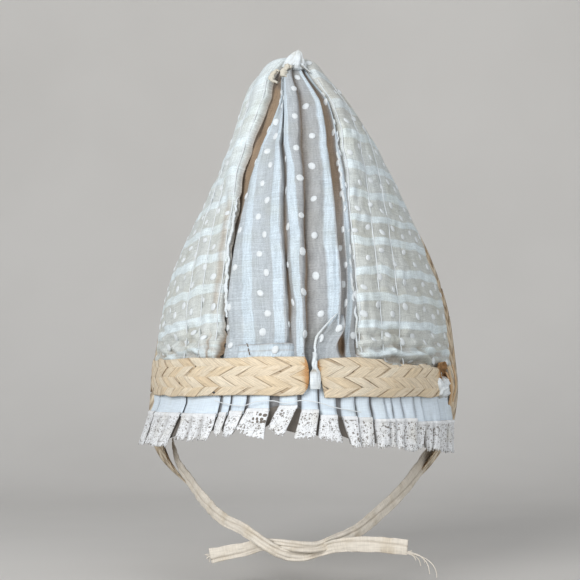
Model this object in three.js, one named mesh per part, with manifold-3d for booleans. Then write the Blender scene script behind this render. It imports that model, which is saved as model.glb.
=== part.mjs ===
// A doll's poke bonnet, as worn. A straw brim frames the face and rises to a peak, with a striped and dotted
// sheer cloth drawn over it. A soft pleated crown closes the back and is gathered to a knot at the peak. A straw
// plait in two lengths holds the crown at the nape, over a pleated neck curtain with a lace edge. Two tape ties
// leave the brim's ears and cross in a half knot behind the neck.
// Millimetres, +Z up. The wearer looks along +Y, so the crown's back faces -Y, and +X is the wearer's right.
// The origin is the middle of the head's hollow, level with the lower edge of the plait band.
import * as THREE from "three";
import { mergeVertices } from "three/addons/utils/BufferGeometryUtils.js";
import Module from "manifold-3d";

const wasm = await Module();
wasm.setup();

// Driving dimensions.
const CLOTH = 1; // wall of gathered muslin
const STRAW = 1.2; // wall of sewn straw
const PLAIT = 1.5; // thickness of the band's plait
const PLAIT_WIDTH = 13.2;
const PLAIT_CROWN = 0.5; // how much thinner the plait is at its edges
const CLEAR = 0.35; // gap between pieces that lie on each other
const LACE_WIDTH = 10;
const TAPE = 1; // thickness of the folded tape

// Layers over the straw's outer face, from the inside out.
const COVER = { low: CLEAR, high: CLEAR + CLOTH };
const CURTAIN = { low: COVER.high + CLEAR, high: COVER.high + CLEAR + CLOTH };
const BAND = { low: CURTAIN.high + CLEAR, high: CURTAIN.high + CLEAR + PLAIT };

// Level sections of the hood, from the ridge at the peak down to the tips of the ears. half is the half width at
// the front edge, back and front are where the section starts at the centre back and ends at the front edge, seam
// is the share of the way round where the crown gives way to the brim, and lean moves the section sideways.
const HOOD = [
  { z: 126, half: 0, back: 8, front: 18, seam: 0.25, lean: -2 },
  { z: 124.8, half: 7.6, back: 6.5, front: 18.5, seam: 0.27, lean: -3.2 },
  { z: 119.4, half: 13.9, back: 3.5, front: 20, seam: 0.31, lean: -4.2 },
  { z: 108.8, half: 20.6, back: -3, front: 23.5, seam: 0.37, lean: -2.2 },
  { z: 92.3, half: 28.6, back: -12.5, front: 29, seam: 0.395, lean: -0.3 },
  { z: 74, half: 37.6, back: -22, front: 35, seam: 0.38, lean: -0.3 },
  { z: 54, half: 47.8, back: -29.5, front: 40, seam: 0.352, lean: -0.9 },
  { z: 34, half: 54.3, back: -34.5, front: 42.5, seam: 0.33, lean: -1.1 },
  { z: 14, half: 56.8, back: -37, front: 42.5, seam: 0.312, lean: -1 },
  { z: 0, half: 57.2, back: -37.5, front: 41, seam: 0.47, lean: -0.6 },
  { z: -14, half: 55.8, back: -37.5, front: 38, seam: 0.8, lean: -1.6 },
  { z: -25, half: 50.4, back: -37, front: 33.5, seam: 0.84, lean: -2.4 },
  { z: -34, half: 42, back: -36, front: 29, seam: 0.88, lean: -2.6 },
];
const EAR_TIP = HOOD.length - 1; // stations count the rows of HOOD
const RIM = 9; // the station at the band's lower edge
const ROUNDNESS = 1.85; // exponent of the superellipse that each section follows
const COVER_END = 8.7; // station where the cover and the crown end, under the band
const CROWN_TOP = 1;
const COVER_LAP = 0.03; // share of the way round that the cover laps over the crown
const SEAM_GAP = 0.008;
const BARE_STRAW = { share: 0.06, from: 5 }; // strip at the front edge that the cover leaves bare, and its station

// Mesh steps across and along each bent slab.
const STEPS = {
  brim: [48, 7],
  cover: [40, 9],
  crown: [54, 13],
  band: [18, 2],
  tab: [4, 10],
};
const CURTAIN_ROWS = 4;
const LACE_ROWS = 2;
const TIE_STEPS = 3; // for each row of a tie's route

// The crown's pleats from the left seam to the right one: where each valley and crest lies across the panel, and
// how far it rises from the hood.
const CROWN_FOLDS = [
  { across: 0, rise: -0.3 },
  { across: 0.055, rise: -3 },
  { across: 0.17, rise: 2.4 },
  { across: 0.27, rise: 1 },
  { across: 0.37, rise: 3.2 },
  { across: 0.445, rise: -1.6 },
  { across: 0.56, rise: 4.4 },
  { across: 0.62, rise: -2 },
  { across: 0.7, rise: 0.6 },
  { across: 0.8, rise: 3 },
  { across: 0.89, rise: -1.6 },
  { across: 0.955, rise: -0.4 },
  { across: 1, rise: -0.3 },
];
// How much of a pleat's rise is left along the crown, by station.
const CROWN_FULLNESS = [
  { station: 1, share: 0.25 },
  { station: 3, share: 0.85 },
  { station: 6, share: 1 },
  { station: 7.8, share: 0.75 },
  { station: 8.2, share: 0.3 },
  { station: 8.7, share: 0.25 },
];

// The fluted tuft at the peak, from its seat to its tip, and where it stands on the hood.
const KNOT_PROFILE = [
  { radius: 0, height: 0 },
  { radius: 3.9, height: 0 },
  { radius: 4.6, height: 1 },
  { radius: 4.2, height: 2.4 },
  { radius: 2.9, height: 3.8 },
  { radius: 1.5, height: 4.8 },
  { radius: 0, height: 5.2 },
];
const KNOT_FLUTES = 8;
const KNOT_SWELL = 0.12; // of the radius, at the crest of a flute
const KNOT_SEAT = { station: 1.15, turn: 0.12, lift: COVER.high + CLEAR + 0.6 };
const KNOT_LEAN = new THREE.Vector3(0.05, -0.8, 0.6).normalize();

// The plait band: each length's ends as shares of the way round, and how far the top edge
// of its outer end rises or dips.
const BAND_LEFT = { from: -0.76, to: 0.09, dip: 0.5 };
const BAND_RIGHT = { from: 0.147, to: 0.84, dip: -1.8 };
const TAB_TURN = 0.1185; // the middle of the gap between the two lengths
const TAB = { low: 0.3, high: 15.5, swell: 1.2, neck: 0.6 }; // neck is the share of the height where it is thinnest
const TAB_WIDTHS = [
  { height: 0, half: 1.7 },
  { height: 0.35, half: 1.6 },
  { height: 0.6, half: 0.7 },
  { height: 1, half: 1.3 },
];

// The neck curtain's knife pleats from the left end to the right one.
const PLEATS = [
  { width: 10, depth: 1 },
  { width: 10, depth: 1.2 },
  { width: 16, depth: 0.9 },
  { width: 14, depth: 0.8 },
  { width: 8.5, depth: 1.8 },
  { width: 9, depth: 1.6 },
  { width: 9.3, depth: 2 },
  { width: 7.2, depth: 1.8 },
  { width: 8, depth: 1.6 },
  { width: 5.2, depth: 2 },
  { width: 5.2, depth: 1.6 },
  { width: 4.5, depth: 1.6 },
  { width: 3.4, depth: 1.4 },
  { width: 3.4, depth: 1.4 },
  { width: 4, depth: 1.6 },
  { width: 3.4, depth: 1.5 },
  { width: 6.5, depth: 1.8 },
  { width: 5, depth: 1.6 },
  { width: 6, depth: 1.4 },
  { width: 6, depth: 1.2 },
];
// One pleat's outline: the share of its width and of its depth at each column of the mesh.
const CLOTH_PLEAT = [
  { share: 0, rise: 0 },
  { share: 0.3, rise: 0.7 },
  { share: 0.7, rise: 0.95 },
  { share: 0.93, rise: 1 },
];
const LACE_PLEAT = [
  { share: 0, rise: 0 },
  { share: 0.25, rise: 1 },
  { share: 0.65, rise: 1.25 },
  { share: 0.93, rise: 0.8 },
];
const CURTAIN_ENDS = { left: -0.86, right: 0.78 }; // shares of the way round
const CURTAIN_TUCK = 5; // hidden behind the band
const CURTAIN_DROP = 6; // below the band, down to the lace
const CURTAIN_OPENS = 1.5; // below the band's lower edge, where the pleats and the flare start
// How far out the curtain slopes and how long it hangs, round the rim.
const CURTAIN_HANG = [
  { turn: -0.86, slope: 0.3, length: 1.25 },
  { turn: -0.45, slope: 0.3, length: 0.9 },
  { turn: 0.1, slope: 0.22, length: 0.85 },
  { turn: 0.45, slope: 0.12, length: 1.12 },
  { turn: 0.78, slope: 0.04, length: 1.18 },
];
const PICOT = 0.5; // teeth along the lace's lower edge
const EYELET = { radius: 0.6, drop: 2.6, shares: [0.3, 0.62] };

// Routes of the ties, from the ears round the neck, through a half knot at the nape, to their free ends. facing is
// the direction, in degrees from +X towards +Y, in which the tape's outer face looks, and width is what shows of
// the tape's width where it is crushed.
const TIE_RIGHT = [
  { x: 46, y: 31, z: -18, facing: -12, width: 5 },
  { x: 41.5, y: 23, z: -25, facing: -20, width: 5 },
  { x: 36.5, y: 9, z: -32, facing: -30, width: 5 },
  { x: 30, y: -6, z: -39, facing: -42, width: 5 },
  { x: 23.5, y: -19, z: -44.5, facing: -58, width: 4.4 },
  { x: 16, y: -27.9, z: -48, facing: -74, width: 3 },
  { x: 10, y: -31.5, z: -51.6, facing: -86, width: 2.8 },
  { x: 4, y: -33.5, z: -49.5, facing: -90, width: 2.8 },
  { x: -2, y: -32.3, z: -46.4, facing: -92, width: 2.8 },
  { x: -8, y: -29.6, z: -48.5, facing: -98, width: 3 },
  { x: -15, y: -28.9, z: -51.5, facing: -98, width: 4.2 },
  { x: -26, y: -28.4, z: -53.5, facing: -96, width: 5 },
];
const TIE_LEFT = [
  { x: -49, y: 31, z: -18, facing: 192, width: 5 },
  { x: -44, y: 23, z: -25, facing: 200, width: 5 },
  { x: -37, y: 9, z: -31.5, facing: 210, width: 5 },
  { x: -31, y: -6, z: -37, facing: 222, width: 5 },
  { x: -23, y: -20, z: -42, facing: 238, width: 4.4 },
  { x: -15, y: -28.4, z: -44.8, facing: 254, width: 3.4 },
  { x: -8, y: -32.4, z: -48.5, facing: 264, width: 3 },
  { x: -2, y: -32.4, z: -52.2, facing: 270, width: 2.8 },
  { x: 4, y: -30.7, z: -49.5, facing: 272, width: 2.8 },
  { x: 10, y: -31, z: -46.2, facing: 274, width: 2.8 },
  { x: 16, y: -31.3, z: -48, facing: 276, width: 3 },
  { x: 24, y: -32.4, z: -49.3, facing: 274, width: 4.4 },
  { x: 32, y: -34.2, z: -49, facing: 272, width: 5 },
  { x: 41, y: -36, z: -49.5, facing: 270, width: 5 },
];

// A smooth curve through a table's rows, read by the value in the key column. Gives an object with the columns.
function readTable(rows, key) {
  const columns = Object.keys(rows[0]).filter((column) => column !== key);
  const places = rows.map((row) => row[key]);
  const values = rows.flatMap((row) => columns.map((column) => row[column]));
  const curve = new THREE.CubicInterpolant(places, values, columns.length);
  return (at) => {
    const found = curve.evaluate(at);
    return Object.fromEntries(columns.map((column, i) => [column, found[i]]));
  };
}

// The rows on both sides of the ridge, so that the curves run smoothly over it.
const overRidge = [...HOOD.slice(1).reverse(), ...HOOD].map((row, i) => ({
  ...row,
  station: i - EAR_TIP,
  half: i < EAR_TIP ? -row.half : row.half,
}));
const hoodSection = readTable(overRidge, "station");
const foldRise = readTable(CROWN_FOLDS, "across");
const crownFullness = readTable(CROWN_FULLNESS, "station");
const curtainHang = readTable(CURTAIN_HANG, "turn");

// A point of the hood. turn runs from -1 at the left front edge over 0 at the centre back to 1 at the right one.
function hoodPoint(station, turn) {
  const { z, half, back, front, lean } = hoodSection(station);
  const angle = (Math.abs(turn) * Math.PI) / 2;
  const sideways = Math.sin(angle) ** (2 / ROUNDNESS);
  const backwards = Math.max(0, Math.cos(angle)) ** (2 / ROUNDNESS);
  return new THREE.Vector3(lean + Math.sign(turn) * half * sideways, front - (front - back) * backwards, z);
}

// A point of the arch that the brim makes. arch runs from -EAR_TIP at the left ear over the ridge to EAR_TIP, and
// turn from 0 at the centre back to 1 at the front edge.
function archPoint(arch, turn) {
  return hoodPoint(Math.abs(arch), arch < 0 ? -turn : turn);
}

function normalAt(pointAt, u, v) {
  const step = 1e-3;
  const [u0, u1] = [Math.max(0, u - step), Math.min(1, u + step)];
  const [v0, v1] = [Math.max(0, v - step), Math.min(1, v + step)];
  const across = pointAt(u1, v).sub(pointAt(u0, v));
  const along = pointAt(u, v1).sub(pointAt(u, v0));
  return across.cross(along).normalize();
}

// Bends a flat slab over a surface. pointAt gives the surface for u and v from 0 to 1, and the slab's two faces go
// to the distances lowAt and highAt from it.
function bentSheet(pointAt, [across, along], lowAt, highAt) {
  const slab = new THREE.BoxGeometry(1, 1, 1, across, along, 1);
  const place = slab.getAttribute("position");
  for (let i = 0; i < place.count; i++) {
    const u = place.getX(i) + 0.5;
    const v = place.getY(i) + 0.5;
    const distance = place.getZ(i) > 0 ? highAt(u, v) : lowAt(u, v);
    const point = pointAt(u, v).addScaledVector(normalAt(pointAt, u, v), distance);
    place.setXYZ(i, point.x, point.y, point.z);
  }
  slab.deleteAttribute("normal");
  slab.deleteAttribute("uv");
  return mergeVertices(slab, 1e-4);
}

const always = (value) => () => value;

// The straw poke: one arched wall from ear to ear, from the front edge back to the crown's seams.
function strawBrim() {
  const surface = (u, v) => {
    const arch = THREE.MathUtils.lerp(-EAR_TIP, EAR_TIP, u);
    const { seam } = hoodSection(Math.abs(arch));
    return archPoint(arch, THREE.MathUtils.lerp(seam, 1, v));
  };
  return bentSheet(surface, STEPS.brim, always(-STRAW), always(0));
}

// The cloth drawn over the brim. It reaches the front edge near the peak and leaves a strip of straw bare below.
function brimCover() {
  const surface = (u, v) => {
    const arch = THREE.MathUtils.lerp(-COVER_END, COVER_END, u);
    const station = Math.abs(arch);
    const seam = hoodSection(Math.min(station, RIM - 1)).seam - COVER_LAP;
    const bare = BARE_STRAW.share * THREE.MathUtils.smoothstep(station, BARE_STRAW.from, COVER_END);
    return archPoint(arch, THREE.MathUtils.lerp(seam, 1 - bare, v));
  };
  return bentSheet(surface, STEPS.cover, always(COVER.low), always(COVER.high));
}

// The soft pleated panel between the seams.
function crown() {
  const station = (v) => THREE.MathUtils.lerp(COVER_END, CROWN_TOP, v);
  const surface = (u, v) => {
    const edge = hoodSection(Math.min(station(v), RIM - 1)).seam - SEAM_GAP;
    return hoodPoint(station(v), THREE.MathUtils.lerp(-edge, edge, u));
  };
  const rise = (u, v) => foldRise(u).rise * crownFullness(station(v)).share;
  return bentSheet(surface, STEPS.crown, (u, v) => rise(u, v) - CLOTH, rise);
}

// The gathered end of the cloth at the peak.
function peakKnot() {
  const profile = KNOT_PROFILE.map(({ radius, height }) => new THREE.Vector2(radius, height));
  const tuft = new THREE.LatheGeometry(profile, 2 * KNOT_FLUTES);
  const place = tuft.getAttribute("position");
  for (let i = 0; i < place.count; i++) {
    const around = Math.atan2(place.getX(i), place.getZ(i));
    const swell = 1 + KNOT_SWELL * Math.cos(KNOT_FLUTES * around);
    place.setX(i, place.getX(i) * swell);
    place.setZ(i, place.getZ(i) * swell);
  }
  tuft.deleteAttribute("normal");
  tuft.deleteAttribute("uv");
  return mergeVertices(tuft, 1e-4);
}

function plaitBand({ from, to, dip }) {
  const surface = (u, v) => {
    const turn = THREE.MathUtils.lerp(from, to, u);
    const point = hoodPoint(RIM, turn);
    const outer = THREE.MathUtils.smoothstep(Math.abs(turn), 0.3, 1);
    point.z = (PLAIT_WIDTH + dip * outer) * v;
    return point;
  };
  const crowned = (u, v) => BAND.high - PLAIT_CROWN * Math.abs(2 * v - 1);
  return bentSheet(surface, STEPS.band, always(BAND.low), crowned);
}

// The tab that comes through the gap in the band: narrow at its neck, with a plump fold below it.
function centreTab() {
  const halfWidth = readTable(TAB_WIDTHS, "height");
  const middle = hoodPoint(RIM, TAB_TURN);
  const sideways = hoodPoint(RIM, TAB_TURN + 0.01).sub(middle).normalize();
  const surface = (u, v) => {
    const point = middle.clone().addScaledVector(sideways, (2 * u - 1) * halfWidth(v).half);
    point.z = THREE.MathUtils.lerp(TAB.low, TAB.high, v);
    return point;
  };
  const plump = (v) => Math.sin(Math.PI * Math.min(1, v / TAB.neck));
  const swell = (u, v) => TAB.swell * plump(v) * (1 - (2 * u - 1) ** 2);
  return bentSheet(surface, STEPS.tab, always(BAND.low), (u, v) => BAND.low + CLOTH + swell(u, v));
}

// The curtain's pleats laid end to end along the rim: for each column, how far round it lies and how deep it is.
function pleatColumns(outline) {
  const total = PLEATS.reduce((sum, pleat) => sum + pleat.width, 0);
  const columns = [];
  let start = 0;
  for (const { width, depth } of PLEATS) {
    for (const { share, rise } of outline) {
      columns.push({ along: (start + share * width) / total, rise: rise * depth });
    }
    start += width;
  }
  columns.push({ along: 1, rise: 0 });
  return columns;
}

const curtainTurn = (along) => THREE.MathUtils.lerp(CURTAIN_ENDS.left, CURTAIN_ENDS.right, along);

// The rim from one end of the curtain to the other, with points at even distances.
const rimCurve = new THREE.CatmullRomCurve3(
  Array.from({ length: 41 }, (_, i) => hoodPoint(RIM, curtainTurn(i / 40))),
);

// A flared skirt below the band: along runs from 0 to 1 round the rim, and drop from 0 behind the band downwards.
function skirtPoint(along, drop) {
  const point = rimCurve.getPointAt(along);
  const tangent = rimCurve.getTangentAt(along);
  const outwards = new THREE.Vector3(tangent.y, -tangent.x, 0).normalize();
  const { slope, length } = curtainHang(curtainTurn(along));
  const below = length * Math.max(0, drop - CURTAIN_TUCK);
  point.addScaledVector(outwards, slope * Math.max(0, below - CURTAIN_OPENS));
  point.z = Math.max(0, CURTAIN_TUCK - drop) - below;
  return point;
}

function pleatedSkirt(columns, drops, rows, riseAt) {
  const count = columns.length - 1;
  const column = (u) => columns[Math.round(u * count)];
  const dropAt = (v) => THREE.MathUtils.lerp(drops.to, drops.from, v);
  const surface = (u, v) => {
    const place = u * count;
    const low = columns[Math.floor(place)];
    const high = columns[Math.ceil(place)];
    const along = THREE.MathUtils.lerp(low.along, high.along, place % 1);
    const tooth = v === 0 && drops.teeth ? PICOT * (Math.round(place) % 2) : 0;
    return skirtPoint(along, dropAt(v) - tooth);
  };
  const rise = (u, v) => CURTAIN.low + column(u).rise * riseAt(dropAt(v));
  return bentSheet(surface, [count, rows], rise, (u, v) => rise(u, v) + CLOTH);
}

const hem = CURTAIN_TUCK + CURTAIN_DROP;
// Pleats lie flat behind the band and open below it.
const pleatOpening = (drop) => THREE.MathUtils.smoothstep(drop, CURTAIN_TUCK + CURTAIN_OPENS, hem);

function neckCurtain() {
  return pleatedSkirt(pleatColumns(CLOTH_PLEAT), { from: 0, to: hem }, CURTAIN_ROWS, pleatOpening);
}

function solidOf(geometry) {
  return new wasm.Manifold(
    new wasm.Mesh({
      numProp: 3,
      vertProperties: new Float32Array(geometry.getAttribute("position").array),
      triVerts: new Uint32Array(geometry.index.array),
    }),
  );
}

function geometryOf(solid) {
  const mesh = solid.getMesh();
  const geometry = new THREE.BufferGeometry();
  geometry.setAttribute("position", new THREE.BufferAttribute(mesh.vertProperties, mesh.numProp));
  geometry.setIndex(new THREE.BufferAttribute(mesh.triVerts, 1));
  return geometry;
}

// The lace edging, pierced by a row of eyelets under its heading.
function laceEdging() {
  const drops = { from: hem + CLEAR, to: hem + CLEAR + LACE_WIDTH, teeth: true };
  const strip = pleatedSkirt(pleatColumns(LACE_PLEAT), drops, LACE_ROWS, always(1));
  let lace = solidOf(strip);
  const total = PLEATS.reduce((sum, pleat) => sum + pleat.width, 0);
  let start = 0;
  for (const { width, depth } of PLEATS) {
    for (const share of EYELET.shares) {
      const along = (start + share * width) / total;
      const onSkirt = (u, v) => skirtPoint(along + (u - 0.5) * 0.01, drops.from + EYELET.drop + (0.5 - v));
      const outwards = normalAt(onSkirt, 0.5, 0.5);
      const middle = onSkirt(0.5, 0.5).addScaledVector(outwards, CURTAIN.low + depth);
      const punch = new THREE.CylinderGeometry(EYELET.radius, EYELET.radius, 8, 4);
      punch.applyQuaternion(new THREE.Quaternion().setFromUnitVectors(new THREE.Vector3(0, 1, 0), outwards));
      punch.translate(middle.x, middle.y, middle.z);
      punch.deleteAttribute("normal");
      punch.deleteAttribute("uv");
      lace = lace.subtract(solidOf(mergeVertices(punch, 1e-4)));
    }
    start += width;
  }
  return geometryOf(lace);
}

// A flat tape along a route, its face turned and its width drawn in as the route says.
function tapeTie(route) {
  const line = new THREE.CatmullRomCurve3(route.map(({ x, y, z }) => new THREE.Vector3(x, y, z)));
  const lie = readTable(
    route.map(({ facing, width }, i) => ({ step: i / (route.length - 1), facing, width })),
    "step",
  );
  const surface = (u, v) => {
    const { facing, width } = lie(u);
    const turned = THREE.MathUtils.degToRad(facing);
    const outwards = new THREE.Vector3(Math.cos(turned), Math.sin(turned), 0);
    const across = outwards.cross(line.getTangent(u)).normalize();
    return line.getPoint(u).addScaledVector(across, (v - 0.5) * width);
  };
  return bentSheet(surface, [TIE_STEPS * (route.length - 1), 1], always(-TAPE / 2), always(TAPE / 2));
}

const sheerCloth = new THREE.MeshStandardMaterial({ color: 0xd9d5cc, roughness: 0.95, metalness: 0 });
const straw = new THREE.MeshStandardMaterial({ color: 0xdcb583, roughness: 0.7, metalness: 0 });
const cotton = new THREE.MeshStandardMaterial({ color: 0xd3dae2, roughness: 0.95, metalness: 0 });
const laceThread = new THREE.MeshStandardMaterial({ color: 0xdedbd4, roughness: 0.95, metalness: 0 });
const tape = new THREE.MeshStandardMaterial({ color: 0xd5c8b8, roughness: 0.95, metalness: 0 });

function piece(name, geometry, material) {
  const mesh = new THREE.Mesh(geometry, material);
  mesh.name = name;
  return mesh;
}

function placedKnot() {
  const knot = piece("peak_knot", peakKnot(), sheerCloth);
  const { station, turn, lift } = KNOT_SEAT;
  knot.position.copy(hoodPoint(station, turn)).addScaledVector(KNOT_LEAN, lift);
  knot.quaternion.setFromUnitVectors(new THREE.Vector3(0, 1, 0), KNOT_LEAN);
  return knot;
}

const bonnet = new THREE.Group();
bonnet.add(
  piece("straw_brim", strawBrim(), straw),
  piece("brim_cover", brimCover(), sheerCloth),
  piece("crown", crown(), sheerCloth),
  placedKnot(),
  piece("band_left", plaitBand(BAND_LEFT), straw),
  piece("band_right", plaitBand(BAND_RIGHT), straw),
  piece("centre_tab", centreTab(), cotton),
  piece("neck_curtain", neckCurtain(), cotton),
  piece("lace", laceEdging(), laceThread),
  piece("tie_left", tapeTie(TIE_LEFT), tape),
  piece("tie_right", tapeTie(TIE_RIGHT), tape),
);

export default bonnet;
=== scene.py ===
# %% [markdown]
# # A doll's poke bonnet
# The bonnet is a hood of plaited straw, covered at the sides in spotted and striped muslin. The back of
# the crown is the same muslin, drawn into pleats. A straw plait holds it at the nape, above a pleated
# curtain with a lace edge, and two tapes tie under it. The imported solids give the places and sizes. This
# lesson puts cloth, straw and lace where they are.

# %% Load the frame
import math

import bmesh
import bpy
import numpy as np
from mathutils import Matrix, Vector


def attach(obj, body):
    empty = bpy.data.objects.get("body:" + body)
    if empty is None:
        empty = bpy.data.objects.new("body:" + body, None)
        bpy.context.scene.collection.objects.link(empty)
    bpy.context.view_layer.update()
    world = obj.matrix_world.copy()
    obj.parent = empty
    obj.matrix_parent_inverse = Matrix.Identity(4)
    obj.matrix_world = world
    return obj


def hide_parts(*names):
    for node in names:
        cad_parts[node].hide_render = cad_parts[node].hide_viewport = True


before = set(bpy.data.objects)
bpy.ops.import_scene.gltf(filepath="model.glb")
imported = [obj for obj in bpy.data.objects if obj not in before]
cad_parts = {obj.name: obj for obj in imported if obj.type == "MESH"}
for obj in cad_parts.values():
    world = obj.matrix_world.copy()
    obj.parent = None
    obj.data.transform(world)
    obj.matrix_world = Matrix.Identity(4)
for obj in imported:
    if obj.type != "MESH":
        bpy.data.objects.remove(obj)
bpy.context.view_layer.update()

MM = 0.001
print("solids:", ", ".join(sorted(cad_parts)))

# %% [markdown]
# ## Camera
# The bonnet is seen from behind, a little from the right and from just below its middle. A long lens keeps
# the peak from shrinking. The camera's own Z axis points backwards, so one direction gives both its place
# and its turn.

# %% Camera
VIEW_AZIMUTH = math.radians(7)
VIEW_ELEVATION = math.radians(-4)
VIEW_DISTANCE = 0.52
VIEW_MIDDLE = Vector((-0.00228, -0.00028, 0.0394))
LENS = 88.2

backwards = Vector((
    math.sin(VIEW_AZIMUTH) * math.cos(VIEW_ELEVATION),
    -math.cos(VIEW_AZIMUTH) * math.cos(VIEW_ELEVATION),
    math.sin(VIEW_ELEVATION),
))
camera = bpy.data.objects.new("camera", bpy.data.cameras.new("camera"))
camera.data.lens = LENS
camera.data.clip_start = 0.01
camera.location = VIEW_MIDDLE + backwards * VIEW_DISTANCE
camera.rotation_euler = backwards.to_track_quat("Z", "Y").to_euler()
bpy.context.collection.objects.link(camera)
bpy.context.scene.camera = camera
print("camera at", [round(value, 3) for value in camera.location])

# %% [markdown]
# ## Nodes in short
# Every finish is a small node tree. One helper puts a node in a tree, sets its options, and fills or links
# its inputs, so a material reads as a list of steps.


# %% Node helpers
def put(tree, kind, inputs=None, **options):
    """Adds a node. An input is given by name or number, as a value or as the socket that feeds it."""
    node = tree.nodes.new(kind)
    for name, value in options.items():
        setattr(node, name, value)
    for name, value in (inputs or {}).items():
        if isinstance(value, bpy.types.NodeSocket):
            tree.links.new(value, node.inputs[name])
        else:
            node.inputs[name].default_value = value
    return node


def number(tree, operation, first, second=0.0, third=0.0):
    """The result of one sum on numbers."""
    return put(tree, "ShaderNodeMath", {0: first, 1: second, 2: third}, operation=operation).outputs[0]


def ramp(tree, value, low, high, to_low=0.0, to_high=1.0):
    """A soft step: to_low below low, to_high above high."""
    ends = {"Value": value, "From Min": low, "From Max": high, "To Min": to_low, "To Max": to_high}
    return put(tree, "ShaderNodeMapRange", ends, interpolation_type="SMOOTHSTEP").outputs["Result"]


def blend(tree, share, first, second, kind="MIX"):
    """Two colours mixed by a share."""
    inputs = {0: share, 6: first, 7: second}
    return put(tree, "ShaderNodeMix", inputs, data_type="RGBA", blend_type=kind).outputs[2]


def cloud(tree, place, scale, stretch=(1, 1, 1), detail=3.0):
    """Soft noise, finer with scale and drawn out where stretch is small."""
    turned = put(tree, "ShaderNodeMapping", {"Vector": place, "Scale": stretch})
    noise = put(tree, "ShaderNodeTexNoise", {"Vector": turned.outputs[0], "Scale": scale, "Detail": detail})
    return noise.outputs["Fac"]


def shade_of(tree):
    """The piece's own shade attribute: mostly painted shade, for how deep in a fold this spot lies."""
    return put(tree, "ShaderNodeAttribute", attribute_name="shade").outputs["Fac"]


def new_group(name, inputs, outputs):
    """An empty shader group with named sockets, and its two end nodes."""
    group = bpy.data.node_groups.new(name, "ShaderNodeTree")
    for socket, kind in inputs.items():
        group.interface.new_socket(socket, in_out="INPUT", socket_type="NodeSocket" + kind)
    for socket, kind in outputs.items():
        group.interface.new_socket(socket, in_out="OUTPUT", socket_type="NodeSocket" + kind)
    return group, put(group, "NodeGroupInput").outputs, put(group, "NodeGroupOutput").inputs


def new_material(name, roughness, sheen=0.0):
    """A material with its shader, and the cloth distances of the piece that wears it."""
    material = bpy.data.materials.new(name)
    material.use_nodes = True
    tree = material.node_tree
    shader = tree.nodes["Principled BSDF"]
    shader.inputs["Roughness"].default_value = roughness
    shader.inputs["Specular IOR Level"].default_value = 0.25
    shader.inputs["Sheen Weight"].default_value = sheen
    place = put(tree, "ShaderNodeUVMap", uv_map="cloth").outputs[0]
    return material, tree, shader, place


def raise_surface(tree, shader, height, strength, distance):
    """Lets a height stand up from the surface."""
    bump = put(tree, "ShaderNodeBump", {"Height": height, "Strength": strength, "Distance": distance})
    tree.links.new(bump.outputs[0], shader.inputs["Normal"])


# %% [markdown]
# ## Woven cloth
# All the cloths are plain weaves whose threads are uneven. A grid of lines would shimmer at this scale,
# so the group draws each set of threads as noise that is long one way and short the other. The same group
# serves the muslin, the cotton curtain, the lace and the tapes.


# %% Weave group
def make_weave():
    group, given, result = new_group(
        "weave", {"Place": "Vector", "Threads": "Float"}, {"Tone": "Float", "Height": "Float"})
    warp = cloud(group, given["Place"], 1.0, (2.6, 0.16, 1), 2.0)
    weft = cloud(group, given["Place"], 1.0, (0.16, 2.6, 1), 2.0)
    both = number(group, "ADD", warp, weft)
    centred = number(group, "SUBTRACT", both, 1.0)
    group.links.new(number(group, "MULTIPLY_ADD", centred, given["Threads"], 1.0), result["Tone"])
    group.links.new(number(group, "MULTIPLY", both, 0.5), result["Height"])
    return group


WEAVE = make_weave()


def woven(tree, place, threads):
    """The weave's tone and height, for one cloth."""
    node = put(tree, "ShaderNodeGroup", {"Place": place, "Threads": threads}, node_tree=WEAVE)
    return node.outputs["Tone"], node.outputs["Height"]


print("groups:", [group.name for group in bpy.data.node_groups])

# %% [markdown]
# ## Striped muslin
# The muslin is sheer, with close-woven white stripes. What shows through the sheer part is the straw or
# the lining of a pleat, so its colour is mixed in here, with a few old stains. The brown in the depth of a
# fold is partly that colour and partly painted shade. The stripes follow the cloth distances that each
# piece carries, counted across the stripes.

# %% Muslin group
STRIPE_PERIOD = 9.45
STRIPE_HALF_SHARE = 0.145


def make_muslin():
    sockets = {"Place": "Vector", "Shade": "Float", "Double": "Float", "Stripe": "Color", "Sheer": "Color",
               "Fold": "Color", "Stain": "Color"}
    group, given, result = new_group("muslin", sockets, {"Colour": "Color", "Height": "Float"})
    across = put(group, "ShaderNodeSeparateXYZ", {0: given["Place"]}).outputs[0]
    wander = number(group, "MULTIPLY", cloud(group, given["Place"], 0.25), 0.7)
    counted = number(group, "DIVIDE", number(group, "ADD", across, wander), STRIPE_PERIOD)
    away = number(group, "ABSOLUTE", number(group, "SUBTRACT", number(group, "FRACT", number(
        group, "ADD", counted, 0.5)), 0.5))
    stripe = ramp(group, away, STRIPE_HALF_SHARE - 0.03, STRIPE_HALF_SHARE + 0.04, 1.0, 0.0)
    weave = put(group, "ShaderNodeGroup", {"Place": given["Place"], "Threads": 0.55}, node_tree=WEAVE)
    opaque = number(group, "MAXIMUM", stripe, number(group, "MULTIPLY", given["Double"], 0.75))
    plain = blend(group, opaque, given["Sheer"], given["Stripe"])
    patches = cloud(group, given["Place"], 0.09, detail=5.0)
    stained = blend(group, ramp(group, patches, 0.42, 0.72, 0.0, 0.9), plain, given["Stain"], "MULTIPLY")
    # Painted shade: the shade attribute mixes the colour towards the fold brown.
    folded = blend(group, given["Shade"], stained, given["Fold"])
    slubs = ramp(group, cloud(group, given["Place"], 2.6, detail=4.0), 0.3, 0.7, 0.88, 1.1)
    toned = blend(group, 1.0, folded, weave.outputs["Tone"], "MULTIPLY")
    group.links.new(blend(group, 1.0, toned, slubs, "MULTIPLY"), result["Colour"])
    raised = number(group, "MULTIPLY_ADD", stripe, 0.35, weave.outputs["Height"])
    group.links.new(raised, result["Height"])
    return group


MUSLIN = make_muslin()


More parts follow.
